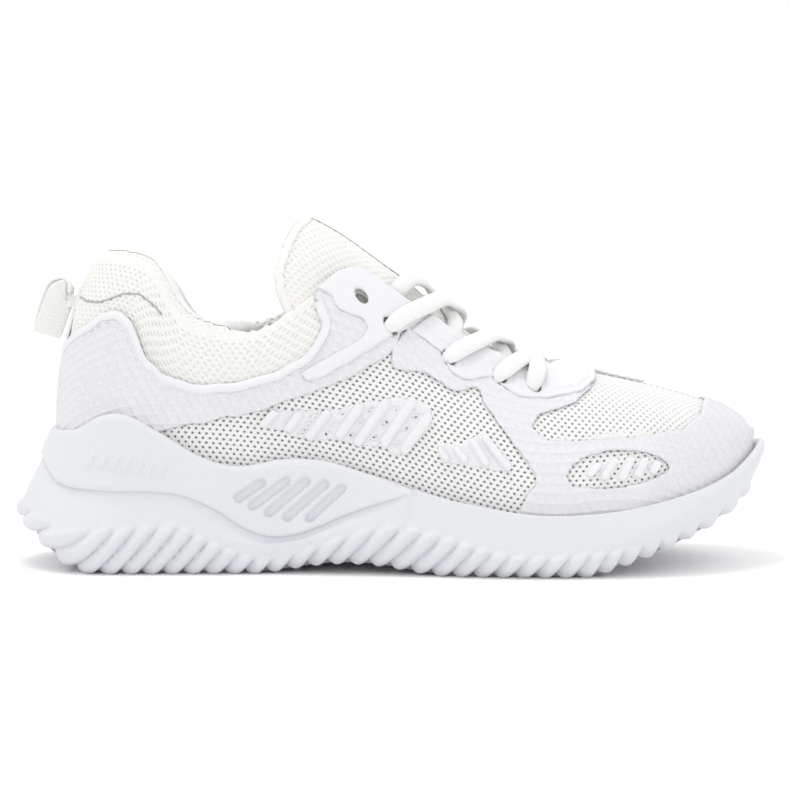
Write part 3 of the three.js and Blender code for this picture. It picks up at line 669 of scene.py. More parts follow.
def make_midsole():
    """The foam block: a ribbed wall that is sunk behind the cradle, with lips at the top."""
    s, side = perimeter(0.62)
    rises = np.concatenate([np.linspace(0.35, 2.4, 30), np.linspace(2.48, 4, 16)])
    rows, columns = len(s), len(rises)
    points = sole_wall(np.repeat(s, columns), np.repeat(side, columns), np.tile(rises, rows))
    normals = wall_normals(rows, columns, points)
    rise = np.tile(rises, rows)
    hidden = ease(2.9, 3.1, rise) * (1 - ease(CRADLE_FRONT - 6, CRADLE_FRONT + 1, points[:, 0]))
    relief = rib_relief(points) * RIB_DEPTH * ease(0.0, 0.5, rise + 0.25)
    under_band = (points[:, 0] < CRADLE_FRONT + 4) * np.exp(-((rise - 2.9) / 0.28) ** 2)
    under_band = under_band * (1 - ease(CRADLE_FRONT - 10, CRADLE_FRONT + 4, points[:, 0]))
    shift = relief - 1.4 * hidden - under_band
    points = points + normals * shift[:, None]
    points[:, 2] = np.maximum(points[:, 2], 0)
    grid = points.reshape(rows, columns, 3)
    top = grid[:, -1]
    turned = lips(top, towards_middle(top), ((0.6, 0.35), (1.5, 0.3), (2.6, -0.6), (4.2, -4.0)))
    grid = np.concatenate([grid] + turned, axis=1)
    columns += len(turned)
    faces = grid_faces(rows, columns)
    faces += [((rows - 1) * columns + c, (rows - 1) * columns + c + 1, c + 1, c) for c in range(columns - 1)]
    bottom = [r * columns for r in range(rows)]
    inner = [r * columns + columns - 1 for r in range(rows)]
    points = grid.reshape(-1, 3)
    half = rows // 2
    for ring in (bottom, inner):
        for k in range(1, half):
            faces.append((ring[k], ring[k + 1], ring[rows - k - 1], ring[rows - k]))
    return finished(recalculated(new_object("midsole_foam", points, faces, FOAM)), "midsole")


# Sunk slots, each from its lower to its upper end.
SLOTS = [((88.5, 30.2), (97.5, 36.2)), ((94, 27), (107.2, 36.8)), ((100.5, 24.4), (115, 36.9)),
         ((107.5, 22.6), (122.4, 35.8)), ((116.5, 22.4), (129, 34.2))]
# A row of plain raised pips.
MARK_PLACES = [(31 + 4.6 * k, 45.2 - 0.62 * k) for k in range(7)]


def capsule(points, start, stop, radius):
    """0 outside a rounded bar in the side view, up to 1 along its middle."""
    start, stop = np.array(start), np.array(stop)
    line = stop - start
    flat = points[:, [0, 2]]
    t = np.clip(((flat - start) @ line) / (line ** 2).sum(), 0, 1)
    far = np.linalg.norm(flat - (start + t[:, None] * line), axis=1)
    return 1 - ease(0.35 * radius, radius, far)


def make_cradle():
    """The foam band around the heel, with its slots and pips."""
    stations, sides = perimeter(0.6)
    front = plan_station(stations, 7, SOLE_LENGTH, HEEL_ARC, TOE_ARC + 4)[0] <= CRADLE_FRONT + 14
    lateral = [i for i in range(len(stations)) if sides[i] < 0 and front[i]][::-1]
    medial = [i for i in range(len(stations)) if sides[i] > 0 and front[i]][::-1]
    order = lateral + medial
    s, side = stations[order], sides[order]
    rises = np.linspace(2.96, 4, 44)
    rows, columns = len(s), len(rises)
    rise = np.tile(rises, rows)
    points = sole_wall(np.repeat(s, columns), np.repeat(side, columns), rise)
    grid = points.reshape(rows, columns, 3)
    along = np.gradient(grid, axis=0)
    up = np.gradient(grid, axis=1)
    normals = np.cross(along, up).reshape(-1, 3)
    normals /= np.maximum(np.linalg.norm(normals, axis=1, keepdims=True), 1e-9)
    if (normals[:, 1] * points[:, 1]).mean() < 0:
        normals = -normals
    relief = 0.55 * np.ones(len(points))
    relief -= 1.1 * (1 - np.clip((rise - 2.96) / 0.1, 0, 1)) ** 2
    relief -= 1.0 * (1 - np.clip((4 - rise) / 0.08, 0, 1)) ** 2
    relief -= 0.95 * ease(CRADLE_FRONT - 34, CRADLE_FRONT + 10, points[:, 0])
    for start, stop in SLOTS:
        relief -= 2.6 * capsule(points, start, stop, 2.3)
    for px, pz in MARK_PLACES:
        relief += 0.75 * capsule(points, (px - 0.9, pz - 2.1), (px + 0.9, pz + 2.1), 1.25)
    points = points + normals * relief[:, None]
    grid = points.reshape(rows, columns, 3)
    top, low = grid[:, -1], grid[:, 0]
    inward = towards_middle(top)
    above = lips(top, inward, ((0.7, 0.4), (1.8, 0.45), (3.2, -0.3), (4.4, -4.0)))
    below = lips(low, inward, ((2.4, 0.4),))
    grid = np.concatenate(below + [grid] + above, axis=1)
    columns += len(above) + len(below)
    faces = grid_faces(rows, columns, closed=True)
    for r, flipped in ((0, True), (rows - 1, False)):
        ring = [r * columns + c for c in range(columns)]
        faces.append(tuple(ring[::-1] if flipped else ring))
    return finished(recalculated(new_object("cradle_foam", grid.reshape(-1, 3), faces, FOAM)),
                    "midsole_cradle")


def make_outsole():
    """The tread: a thin plate with cross grooves that follow the wall's ribs."""
    s = np.linspace(0.02, 2.98, 420)
    shares = np.sin(np.linspace(-math.pi / 2, math.pi / 2, 61))
    left, right = sole_level(0, s, -1), sole_level(0, s, 1)
    mid = (left + right) / 2
    half = (right - left) / 2
    under = mid[:, None] + half[:, None] * (shares[None, :, None] * 1.03)
    x, y = under[..., 0], under[..., 1]
    wave = np.abs(np.sin(math.pi * (x + 0.35 * np.abs(y)) / RIB_PITCH)) ** 0.6
    middle_channel = np.exp(-((y - form_middle(x)) / 3.0) ** 2)
    rim = ease(1.0, 0.9, np.abs(shares))[None, :]
    groove = np.clip((1 - wave) * 2.2 + 1.6 * middle_channel, 0, 2.2) * (0.25 + 0.75 * rim)
    under[..., 2] = ground_line(x) + groove
    over = under.copy()
    over[..., 2] = ground_line(x) + 4.0
    points = np.concatenate([under.reshape(-1, 3), over.reshape(-1, 3)])
    rows, columns = under.shape[:2]
    count = rows * columns
    faces = grid_faces(rows, columns) + [f[::-1] for f in grid_faces(rows, columns, count)]
    edge = ([(r, 0) for r in range(rows)] + [(rows - 1, c) for c in range(1, columns)]
            + [(r, columns - 1) for r in range(rows - 2, -1, -1)]
            + [(0, c) for c in range(columns - 2, 0, -1)])
    ring = [r * columns + c for r, c in edge]
    faces += [(a, b, b + count, a + count) for a, b in zip(ring, ring[1:] + ring[:1])]
    # The tread gets the painted-shade grey that stands for the sole's shaded underside.
    return finished(recalculated(new_object("tread", points, faces, TREAD_PAINTED_SHADE)), "outsole")


make_midsole()
make_cradle()
make_outsole()


# ---------- knitted mesh with real holes ----------
def hexagon(pitch, row):
    """Twelve points round one cell of a staggered lattice: its corners and the middles of its edges."""
    high = row / 2 + pitch ** 2 / (8 * row)
    low = row / 2 - pitch ** 2 / (8 * row)
    half = pitch / 2
    corners = [(0, high), (-half, low), (-half, -low), (0, -high), (half, -low), (half, low)]
    ring = []
    for p, q in zip(corners, corners[1:] + corners[:1]):
        ring += [p, ((p[0] + q[0]) / 2, (p[1] + q[1]) / 2)]
    return np.array(ring)


def knit(name, put, low, high, keep, pitch, row, hole, depths, surface, pit=False):
    """Cells over a flat area, each a ring of yarn round a hole, or round a pit.

    put turns flat places and a depth into points, and keep says which cells are made.
    """
    outer = hexagon(pitch, row)
    around = np.arctan2(outer[:, 1] / row, outer[:, 0] / pitch)
    rim = np.stack([hole[0] * np.cos(around), hole[1] * np.sin(around)], 1)
    rings = [outer, outer * 0.42 + rim * 0.58, rim, rim * 0.86]
    rows = np.arange(math.floor(low[1] / row), math.ceil(high[1] / row) + 1)
    columns = np.arange(math.floor(low[0] / pitch) - 1, math.ceil(high[0] / pitch) + 2)
    grid_c, grid_r = np.meshgrid(columns, rows)
    centres = np.stack([(grid_c + 0.5 * (grid_r % 2)).ravel() * pitch, grid_r.ravel() * row], 1)
    centres = centres[keep(centres)]
    count = len(centres)
    flat, depth = [], []
    for ring, deep in zip(rings, depths):
        flat.append((centres[:, None] + ring[None]).reshape(-1, 2))
        depth.append(np.full(count * 12, deep))
    if pit:
        flat.append(centres)
        depth.append(np.full(count, depths[4]))
    flat, depth = np.concatenate(flat), np.concatenate(depth)
    points = put(flat[:, 0], flat[:, 1], depth)
    faces = []
    cell = np.arange(count) * 12
    for k in range(3):
        for i in range(12):
            j = (i + 1) % 12
            a, b = k * count * 12, (k + 1) * count * 12
            faces.append(np.stack([a + cell + i, a + cell + j, b + cell + j, b + cell + i], 1))
    faces = [tuple(f) for block in faces for f in block]
    if pit:
        base, tip = 3 * count * 12, 4 * count * 12
        for i in range(12):
            j = (i + 1) % 12
            faces += list(zip(base + cell + i, base + cell + j, tip + np.arange(count)))
    keys = np.round(flat[:count * 12] / 0.05).astype(np.int64)
    _, first, back = np.unique(keys, axis=0, return_index=True, return_inverse=True)
    join = np.arange(len(points))
    join[:count * 12] = first[back.ravel()]
    faces = [tuple(join[list(f)]) for f in faces]
    used = np.unique(np.concatenate([np.array(f) for f in faces]))
    renumber = np.zeros(len(points), int)
    renumber[used] = np.arange(len(used))
    faces = [tuple(renumber[list(f)]) for f in faces]
    return new_object(name, points[used], faces, surface)


QUARTER_OUTLINE = [[58, 50], [58, 57], [78, 62], [99, 67], [124, 76], [140, 86], [150, 98], [160, 98],
                   [175, 84], [186, 80], [195, 66], [206, 55], [212, 44], [212, 20], [175, 20], [140, 28],
                   [110, 34], [80, 36], [58, 44]]
VAMP_OUTLINE = [[204, 160], [196, 51], [210, 50.5], [224, 50.3], [238, 50.5], [252, 51.5], [266, 53],
                [280, 56], [281, 160]]
OVAL_AREA = [[214, 32], [214, 54], [264, 54], [264, 32]]
KNIT_DEPTHS = (0.0, 0.12, -0.25, -0.5)
MESH_PITCH, MESH_ROW, MESH_HOLE = 2.75, 1.85, (0.64, 0.47)


def knit_on_form(name, outline, side, from_ridge=False):
    """Rows of knit that follow the wall's widest line, or the ridge."""
    layout = UNROLLED[side]
    flat = layout.flat(outline)
    start = (lambda u: 0 * u) if from_ridge else layout.widest_v

    def keep(centres):
        spots = np.stack([centres[:, 0], centres[:, 1] + start(centres[:, 0])], 1)
        return inside(spots, flat) & (spots[:, 1] > (-0.1 if side < 0 else 0.6) * MESH_ROW)

    def put(u, v, depth):
        return place(side, u, v + start(u), depth - 0.25)

    low = (flat[:, 0].min(), (flat[:, 1] - start(flat[:, 0])).min() - 12)
    high = (flat[:, 0].max(), (flat[:, 1] - start(flat[:, 0])).max() + 12)
    return knit(name, put, low, high, keep, MESH_PITCH, MESH_ROW, MESH_HOLE, KNIT_DEPTHS, MESH_WHITE)


for side_name, side in SIDES:
    quarter = knit_on_form(f"quarter_knit_{side_name}", QUARTER_OUTLINE, side)
    finished(quarter, f"quarter_mesh_{side_name}")
    oval = knit_on_form(f"oval_knit_{side_name}", OVAL_AREA, side)
    vamp = knit_on_form(f"vamp_knit_{side_name}", VAMP_OUTLINE, side, from_ridge=True)
    for piece in (oval, vamp):
        finished(piece, "vamp_mesh")


# ---------- the films laid over the mesh ----------
def embossed(depth, cell, height, edge=1.0, drop=0.45):
    """A film with raised lines: one family runs along the panel and the other leans across it."""
    def value(flat, far):
        u, v = flat[:, 0], flat[:, 1]
        bend = 3 * np.sin(u / 34)
        flow = (v + 0.1 * u + bend) / (0.95 * cell)
        lean = (u - 0.62 * v) / cell
        along = np.exp(-(((flow % 1) - 0.5) / 0.12) ** 2)
        leaning = 0.8 * np.exp(-(((lean % 1) - 0.5) / 0.1) ** 2)
        line = np.maximum(along, leaning)
        return depth + height * line - drop * (1 - np.clip(far / edge, 0, 1)) ** 2
    return value


FOREFOOT_REAR = [[194, 16], [200.5, 31], [205, 39], [196.7, 51], [185.7, 66], [182, 73], [173, 72], [162, 79],
                 [150, 81], [149, 88]]
TOE_WINDOW = [[227.8, 160], [227.8, 75], [226.6, 71], [220.6, 66.3], [206.6, 62.8], [203.4, 57.8],
              [208.6, 53.4], [224.6, 53], [243.6, 53.4], [262.6, 55.8], [270.6, 60.8], [273.6, 69],
              [273.6, 160]]
OVAL_WINDOW = [[216.6, 39.5], [221.6, 45.5], [234.6, 49], [249.6, 47.6], [257, 42], [247.6, 37.2],
               [233.6, 35], [220.6, 35.6], [216.6, 39.5]]
throat_half = smooth((108, 27), (121, 21), (146, 18.2), (180, 16.4), (200, 14), (210, 9.2), (213.5, 2))


def low_line(start, stop, count):
    """Just under the bed, where the sole hides the upper's lower edge."""
    return [[x, float(bed_height(x)) - 3] for x in np.linspace(start, stop, count)]


def throat_line(side, start, stop, count):
    """The edge of the lacing gap as side-view points of one side, below the rim where that is lower."""
    rim_x, rim_z = np.array(line_of(EYESTAY_TOP, 40)).T
    out = []
    for x in np.linspace(start, stop, count):
        half = throat_half(x) * (1 if side < 0 else 1.06)
        width = form_lateral(x) if side < 0 else form_medial(x)
        power = section_power(x)
        widest = bed_height(x) + (form_top(x) - bed_height(x)) * WIDEST_SHARE
        lift = (1 - min(half / width, 1) ** power) ** (1 / power)
        height = widest + (form_top(x) - widest) * lift
        out.append([x, min(height, np.interp(x, rim_x, rim_z)) if x < 158 else height])
    return out


def heel_overlay_outline(side):
    return [[-6, 43], [40, 50]] + line_of(QUARTER_LOWER_EDGE[2:], 30) + [[153, 96]] \
        + throat_line(side, 160, 121, 14) + line_of(COLLAR_LINE, 80)[::-1] + [[-6, 78]]


def forefoot_outline(side):
    return line_of(FOREFOOT_REAR, 60) + [[154, 95]] + throat_line(side, 161, 213, 18) \
        + [[214, 160], [300, 160]] + low_line(293, 198, 24)


def eyestay_upper_outline(side):
    return throat_line(side, 120, 164, 24) \
        + line_of([[155, 95.5], [139, 86.5], [128, 80.5], [117.4, 75.6], [113.4, 78.3]], 20) \
        + line_of([[123, 84], [135, 90.5], [139.4, 95.3], [137, 99.5], [130.8, 101.6], [127, 104.6],
                   [125.5, 108]], 24)


def eyestay_lower_outline(side):
    return throat_line(side, 164.6, 213, 18) + [[214, 160], [228.6, 160]] \
        + line_of([[228.6, 74], [224, 70.6], [218, 69], [206, 68], [196, 70], [187.4, 76.5], [180, 75.6],
                   [174, 77.1], [170, 81.6], [167, 87], [156, 94.6]], 40)


EYELETS = [(137, 25), (148, 27), (170.8, 26), (190.4, 24.5), (204, 23)]
EYELET_RADIUS, FILM_HOLE_RADIUS, LINING_HOLE_RADIUS = 2.7, 3.1, 3.3


def form_height(x, y):
    """The height of the form's upper face at a place in plan."""
    from_middle = y - form_middle(x)
    half = np.where(from_middle < 0, form_lateral(x), form_medial(x))
    widest = bed_height(x) + (form_top(x) - bed_height(x)) * WIDEST_SHARE
    power = section_power(x)
    lift = (1 - np.minimum(np.abs(from_middle) / half, 1) ** power) ** (1 / power)
    return widest + (form_top(x) - widest) * lift


def eyelet_hole(x, y, side, radius=EYELET_RADIUS):
    """The side-view outline of a round hole lying on the surface."""
    turns = np.linspace(0, 2 * math.pi, 21)[:-1]
    flat = UNROLLED[side].flat([[x, float(form_height(x, side * y))]])[0]
    return [("flat", flat[0] + radius * math.cos(t), flat[1] + radius * math.sin(t)) for t in turns]


def eyelet_holes(side, eyelets, radius=EYELET_RADIUS):
    return [eyelet_hole(x, y, side, radius) for x, y in eyelets]


def flats_of(side, outlines):
    """Outlines as flat places: given in the side view, or already flat and marked so."""
    result = []
    for outline in outlines:
        if outline[0][0] == "flat":
            result.append(np.array([(u, v) for _, u, v in outline]))
        else:
            result.append(UNROLLED[side].flat(outline))
    return result


# ---------- the upper's panels ----------
for side_name, side in SIDES:
    heel_film = panel(f"heel_film_{side_name}",
                      lambda one: [heel_overlay_outline(one)]
                      + eyelet_holes(one, EYELETS[:2], FILM_HOLE_RADIUS), (side,),
                      embossed(OVERLAY_DEPTH, 4.2, 0.62), 0.8, FILM, 0.4)
    finished(heel_film, f"heel_overlay_{side_name}")
    upper_eyestay = panel(
        f"eyestay_film_{side_name}",
        lambda one: [eyestay_upper_outline(one)] + eyelet_holes(one, EYELETS[:2]),
        (side,), rolled(EYESTAY_DEPTH, 1.1, 0.5), 0.9, FILM_SMOOTH, 0.55)
    finished(upper_eyestay, f"eyestay_upper_{side_name}")


def forefoot_depth(flat, far):
    fine = ease(245, 262, flat[:, 0])
    coarse_value = embossed(OVERLAY_DEPTH, 4.2, 0.5)(flat, far)
    fine_value = embossed(OVERLAY_DEPTH, 3.0, 0.45)(flat, far)
    return coarse_value * (1 - fine) + fine_value * fine


def forefoot_lines(side):
    return [forefoot_outline(side), TOE_WINDOW, line_of(OVAL_WINDOW, 60)] \
        + eyelet_holes(side, EYELETS[2:], FILM_HOLE_RADIUS)


forefoot = panel("forefoot_film", forefoot_lines, (-1, 1), forefoot_depth, 0.8, FILM, 0.45)
finished(forefoot, "forefoot_overlay")


def vamp_tip_depth(flat, far):
    """The film round the lowest eyelets has one raised contour that follows its edge."""
    contour = 0.28 * np.exp(-((far - 3.6) / 0.55) ** 2) + 0.22 * ease(3.0, 3.9, far)
    return rolled(EYESTAY_DEPTH, 1.1, 0.5)(flat, far) + contour


lower_eyestay = panel(
    "vamp_eyestay_film",
    lambda one: [eyestay_lower_outline(one)] + eyelet_holes(one, EYELETS[2:]),
    (-1, 1), vamp_tip_depth, 0.9, FILM_SMOOTH, 0.55)
finished(lower_eyestay, "eyestay_lower")


# ---------- moulded bars ----------
REAR_BARS = [((103.7, 63.6), (98.7, 58.5)), ((113.9, 63.9), (107.9, 55.9)), ((124.5, 64.1), (115.6, 53)),
             ((136.9, 67), (127.2, 53.5)), ((147.6, 68.5), (134.8, 50.9)), ((157.2, 68.7), (144.9, 50.5)),
             ((163.8, 62.7), (152.5, 48.1))]
FRONT_BARS = [((166.9, 50.1), (171, 45.4)), ((173.3, 50.4), (178.2, 45.1)), ((179.2, 53.6), (185.8, 43.7)),
              ((184.5, 55.3), (194.7, 42.1))]
TOE_BARS = [((229.6, 44.5), (225.1, 39.5)), ((236.1, 46.2), (231.1, 38)), ((242.6, 46.6), (237.6, 38)),
            ((248.1, 46.2), (244.1, 39)), ((253.1, 44.5), (250.1, 40))]


def bead(side, start, stop, width, height):
    """A bar with round ends and a domed top, standing on the mesh."""
    start, stop = UNROLLED[side].flat([start, stop])
    line = (stop - start) / np.linalg.norm(stop - start)
    start, stop = start + line * width / 2, stop - line * width / 2
    turns = np.linspace(0, math.pi, 9)
    across = np.array([-line[1], line[0]])
    rim = [(stop, line * math.sin(t) + across * math.cos(t)) for t in turns]
    rim += [(start, -line * math.sin(t) - across * math.cos(t)) for t in turns]
    flat, depth = [], []
    profile = [(1.12, -0.35), (1.06, 0.12), (1.0, 0.45), (0.92, 0.78), (0.72, 1.0), (0.4, 1.08), (0.0, 1.1)]
    for spread, lift in profile:
        flat += [centre + away * width / 2 * spread for centre, away in rim]
        depth += [lift * height] * len(rim)
    flat = np.array(flat)
    points = place(side, flat[:, 0], flat[:, 1], np.array(depth))
    return points, grid_faces(len(profile), len(rim), closed=True)


def bars(name, side, lines, width, height, node):
    beads = joined(bead(side, start, stop, width, height) for start, stop in lines)
    points, faces = welded(*beads, 0.004)
    return finished(recalculated(new_object(name, points, faces, FILM_SMOOTH)), node)


REAR_FILM = [[98, 58], [102, 64], [114, 64.5], [125, 64.8], [137, 67.5], [148, 69], [158, 69.2], [164.5, 63],
             [153, 47.5], [145, 50], [135, 50.5], [127, 53], [115.5, 52.5], [107.5, 55.5], [98, 58]]
FRONT_FILM = [[167, 49], [168, 52], [176, 52], [184, 56.5], [187, 55], [195, 43.5], [191, 41.5], [184, 43],
              [171, 44.5], [167, 49]]


def film_depth(flat, far):
    """A thin film sunk into the net, so that its holes still show as dimples."""
    dimple = np.cos(2 * math.pi * flat[:, 0] / MESH_PITCH) * np.cos(math.pi * flat[:, 1] / MESH_ROW)
    return 0.2 + 0.12 * dimple - 0.5 * (1 - np.clip(far / 0.8, 0, 1)) ** 2


def slits(lines):
    """Small slanted holes between neighbouring bars."""
    out = []
    for (top, low), (next_top, next_low) in zip(lines[1:], lines[2:]):
        for share in (0.18, 0.5, 0.82):
            x, z = ((top[k] + (low[k] - top[k]) * share
                     + next_top[k] + (next_low[k] - next_top[k]) * share) / 2 for k in range(2))
            out.append([[x - 1.5, z - 0.7], [x + 0.2, z - 0.5], [x + 1.5, z + 0.7], [x - 0.2, z + 0.5]])
    return out


for side_name, side in SIDES:
    bars(f"rear_beads_{side_name}", side, REAR_BARS, 3.1, 2.1, f"rear_bars_{side_name}")
    bars(f"front_beads_{side_name}", side, FRONT_BARS, 4.0, 2.0, f"front_bars_{side_name}")
    bars(f"toe_beads_{side_name}", side, TOE_BARS, 2.6, 1.3, f"toe_bars_{side_name}")
    rear_film = panel(f"rear_film_{side_name}", lambda one: [line_of(REAR_FILM, 60)] + slits(REAR_BARS),
                      (side,), film_depth, 0.4, FILM_SMOOTH, 0.4)
    front_film = panel(f"front_film_{side_name}", lambda one: [line_of(FRONT_FILM, 40)], (side,),
                       film_depth, 0.4, FILM_SMOOTH, 0.4)
    finished(rear_film, [])
    finished(front_film, [])


# ---------- swept pieces ----------
def sweep(path, normals, section, closed=False):
    """Points and faces of a section carried along a path; each section point is (across, out)."""
    path, normals = np.asarray(path, float), np.asarray(normals, float)
    if closed:
        along = np.roll(path, -1, 0) - np.roll(path, 1, 0)
    else:
        along = np.gradient(path, axis=0)
    along /= np.linalg.norm(along, axis=1, keepdims=True)
    normals = normals - (normals * along).sum(1, keepdims=True) * along
    normals /= np.linalg.norm(normals, axis=1, keepdims=True)
    across = np.cross(along, normals)
    section = np.asarray(section, float)
    if section.ndim == 2:
        section = np.repeat(section[None], len(path), axis=0)
    points = path[:, None] + across[:, None] * section[..., :1] + normals[:, None] * section[..., 1:]
    count = section.shape[1]
    faces = grid_faces(len(path), count, closed=True)
    last = (len(path) - 1) * count
    if closed:
        faces += [(last + c, last + (c + 1) % count, (c + 1) % count, c) for c in range(count)]
    else:
        faces += [tuple(range(count)), tuple(range(last, last + count))]
    return points.reshape(-1, 3), faces


def oval(width, thickness, count=20):
    turns = np.linspace(0, 2 * math.pi, count + 1)[:-1]
    return np.stack([width / 2 * np.cos(turns), thickness / 2 * np.sin(turns)], 1)


def flat_normals(side, u, v):
    """The way out of the form at flat places."""
    return place(side, u, v, np.full(len(u), 1.0)) - place(side, u, v, np.zeros(len(u)))


for side_name, side in SIDES:
    line = even_line(UNROLLED[side].flat(line_of(COLLAR_LINE, 160)), 0.8)
    line = np.stack([curve_through(line[::6, k:k + 1], len(line))[:, 0] for k in range(2)], 1)
    line = np.vstack([[0.0, line[0, 1]], line]) if line[0, 0] > 0.5 else line
    line[0, 0] = 0.0
    points, faces = sweep(place(side, line[:, 0], line[:, 1], np.full(len(line), 1.15)),
                          flat_normals(side, line[:, 0], line[:, 1]), oval(3.6, 2.0))
    piping = new_object(f"piping_cord_{side_name}", points, faces, FILM_SMOOTH)
    finished(recalculated(piping), f"collar_piping_{side_name}")

    seam = UNROLLED[side].flat(line_of(COLLAR_LINE[:-3], 140))
    seam = even_line(curve_through(seam[::8], 200), 2.7)
    ahead = np.gradient(seam, axis=0)
    ahead /= np.linalg.norm(ahead, axis=1, keepdims=True)
    seam = seam + np.stack([-ahead[:, 1], ahead[:, 0]], 1) * 3.1
    rise = np.array([-0.25, 0.05, 0.2, 0.26, 0.2, 0.05, -0.25])
    stitches = []
    for centre, way in zip(seam[2:-2], ahead[2:-2]):
        run = np.array([centre + way * t for t in (-0.95, -0.8, -0.4, 0, 0.4, 0.8, 0.95)])
        stitches.append(sweep(place(side, run[:, 0], run[:, 1], OVERLAY_DEPTH + rise),
                              flat_normals(side, run[:, 0], run[:, 1]), oval(0.55, 0.45, 8)))
    stitches = recalculated(new_object(f"collar_stitches_{side_name}", *joined(stitches), STITCH))
    finished(stitches, [])


# ---------- heel tape ----------
def heel_tape_outline(side):
    layout = UNROLLED[side]
    top, low = layout.flat([[22.5, 111.5]])[0, 1], layout.flat([[16, 56]])[0, 1]
    return [("flat", 0, top), ("flat", 6.2, top), ("flat", 6.8, (top + low) / 2), ("flat", 6.4, low - 2),
            ("flat", 4, low), ("flat", 0, low)]


def taped(flat, far):
    ribs = 0.14 * np.sin(2 * math.pi * flat[:, 1] / 1.5)
    return 1.75 + ribs * ease(0.8, 1.3, far) - 0.5 * (1 - np.clip(far / 0.9, 0, 1)) ** 2


tape = panel("heel_ribbon", lambda one: [heel_tape_outline(one)], (-1, 1), taped, 0.8, TAPE, 0.35)
finished(tape, "heel_tape")


# ---------- padded collar ----------
RIM_LINE = UNROLLED[-1].flat(line_of(RIM + [[124, 114], [129, 117]], 120))
COLLAR_EDGE = UNROLLED[-1].flat(line_of(COLLAR_LINE[:-2], 120))
RIM_LINE[0, 0] = min(RIM_LINE[0, 0], 0.0)
COLLAR_FRONT = UNROLLED[-1].flat([[125, 112]])[0, 0]
COLLAR_DEEP = 42
MEDIAL_DROP = 5  # the inner side's rim is lower beside the ankle
ROLL_RISE = 0.35  # how far up the wall the roll starts, as a share of its radius, so that its top is the rim


def collar_radius(u):
    """How round the rim is rolled: thick at the heel and thin towards the tongue."""
    return 4.9 - 3.2 * ease(72, 100, u)


def collar_put(side):
    """Places on the padded collar: w is 0 where the roll starts, above 0 outside and below 0 over the top."""
    def put(u, w, lift):
        far = np.abs(u)
        rim = np.interp(far, RIM_LINE[:, 0], RIM_LINE[:, 1])
        radius = collar_radius(far)
        rim = rim - ROLL_RISE * radius
        if side > 0:
            rim = rim + MEDIAL_DROP * ease(28, 45, far) * (1 - ease(74, 92, far))
        height = np.maximum(np.interp(far, COLLAR_EDGE[:, 0], COLLAR_EDGE[:, 1]) - rim - radius, 1)
        turn = np.clip(-w / radius, 0, math.pi)
        below = np.clip(-w - math.pi * radius, 0, None)
        full = 1.5 * (1 - ease(COLLAR_FRONT - 24, COLLAR_FRONT - 10, far))
        crown = np.where(w > 0, full * np.sin(math.pi * np.clip(w / height, 0, 1)), 0)
        lift = lift * ease(0.6, 3.2, np.abs(w - 0.4))
        v = rim + radius * (1 - np.sin(turn)) + np.clip(w, 0, None) + below - lift * np.sin(turn)
        depth = -radius + (radius + lift + crown) * np.cos(turn)
        thinner = ease(4, COLLAR_DEEP, below) * (2 * radius - 3.2)
        return place(side, u, v, depth + thinner - 0.2)
    return put


def collar_keep(side, pitch):
    def keep(centres):
        far, w = np.abs(centres[:, 0]), centres[:, 1]
        rim = np.interp(far, RIM_LINE[:, 0], RIM_LINE[:, 1])
        edge = np.interp(far, COLLAR_EDGE[:, 0], COLLAR_EDGE[:, 1])
        low = (w < edge - rim - (1 - ROLL_RISE) * collar_radius(far) + 1.5) & (w > -8)
        start = centres[:, 0] > (-0.1 if side < 0 else 0.1) * pitch
        return low & start & (far < COLLAR_FRONT)
    return keep


DIMPLE_PITCH, DIMPLE_ROW, DIMPLE_HOLE = 3.1, 1.9, (0.72, 0.5)
DIMPLE_DEPTHS = (0.0, -0.02, -0.28, -0.52, -0.6)
for side_name, side in SIDES:
    collar = knit(f"collar_pad_{side_name}", collar_put(side), (0, -COLLAR_DEEP - 15), (COLLAR_FRONT, 45),
                  collar_keep(side, DIMPLE_PITCH), DIMPLE_PITCH, DIMPLE_ROW, DIMPLE_HOLE, DIMPLE_DEPTHS,
                  MESH_CREAM, pit=True)
    finished(collar, ["collar_mesh", "collar_foam"])
    along = np.arange(0, COLLAR_FRONT - 1, 1.2)
    down = np.concatenate([np.linspace(-5, -15, 12), np.linspace(-17, -COLLAR_DEEP - 14, 24)])
    grid_u, grid_w = np.meshgrid(along, down, indexing="ij")
    points = collar_put(side)(grid_u.ravel(), grid_w.ravel(), np.full(grid_u.size, 0.2))
    cloth = new_object(f"collar_lining_{side_name}", points, grid_faces(len(along), len(down)), INNER)
    finished(recalculated(cloth), [])


COLLAR_SEAM = [[26, 106.8], [31, 105.3], [39, 107.5], [45.8, 109.8], [52, 108.6], [58.7, 102.2]]
SEAM_GREY = grained("seam_grey", (0.45, 0.45, 0.44), (0.38, 0.38, 0.37), 0.9, 3000, 0.3)
for side_name, side in SIDES:
    seam = even_line(UNROLLED[side].flat(line_of(COLLAR_SEAM, 60))[::4], 0.8)
    w = seam[:, 1] - np.interp(seam[:, 0], RIM_LINE[:, 0], RIM_LINE[:, 1])
    w = w - (1 - ROLL_RISE) * collar_radius(seam[:, 0])
    path = collar_put(side)(seam[:, 0], w, np.zeros(len(seam)))
    out = flat_normals(side, seam[:, 0], seam[:, 1])
    points, faces = sweep(path, out, oval(0.7, 0.7, 8))
    seam_line = recalculated(new_object(f"collar_seam_{side_name}", points, faces, SEAM_GREY))
    finished(seam_line, [])


# ---------- lining ----------
rim_height = smooth((20, 110), (26, 120.5), (34, 126), (46, 126), (57, 121), (64, 109), (74, 100), (90, 96),
                    (104, 100.5), (118, 110))


def lining_outline(side):
    below_rim = [[x, z - 12 * (1 - float(ease(92, 118, x)))] for x, z in line_of(RIM, 100)]
    return [[-6, 27], [-6, 100]] + below_rim + throat_line(side, 122, 213, 30) \
        + [[214, 160], [300, 160]] + low_line(293, 16, 40)


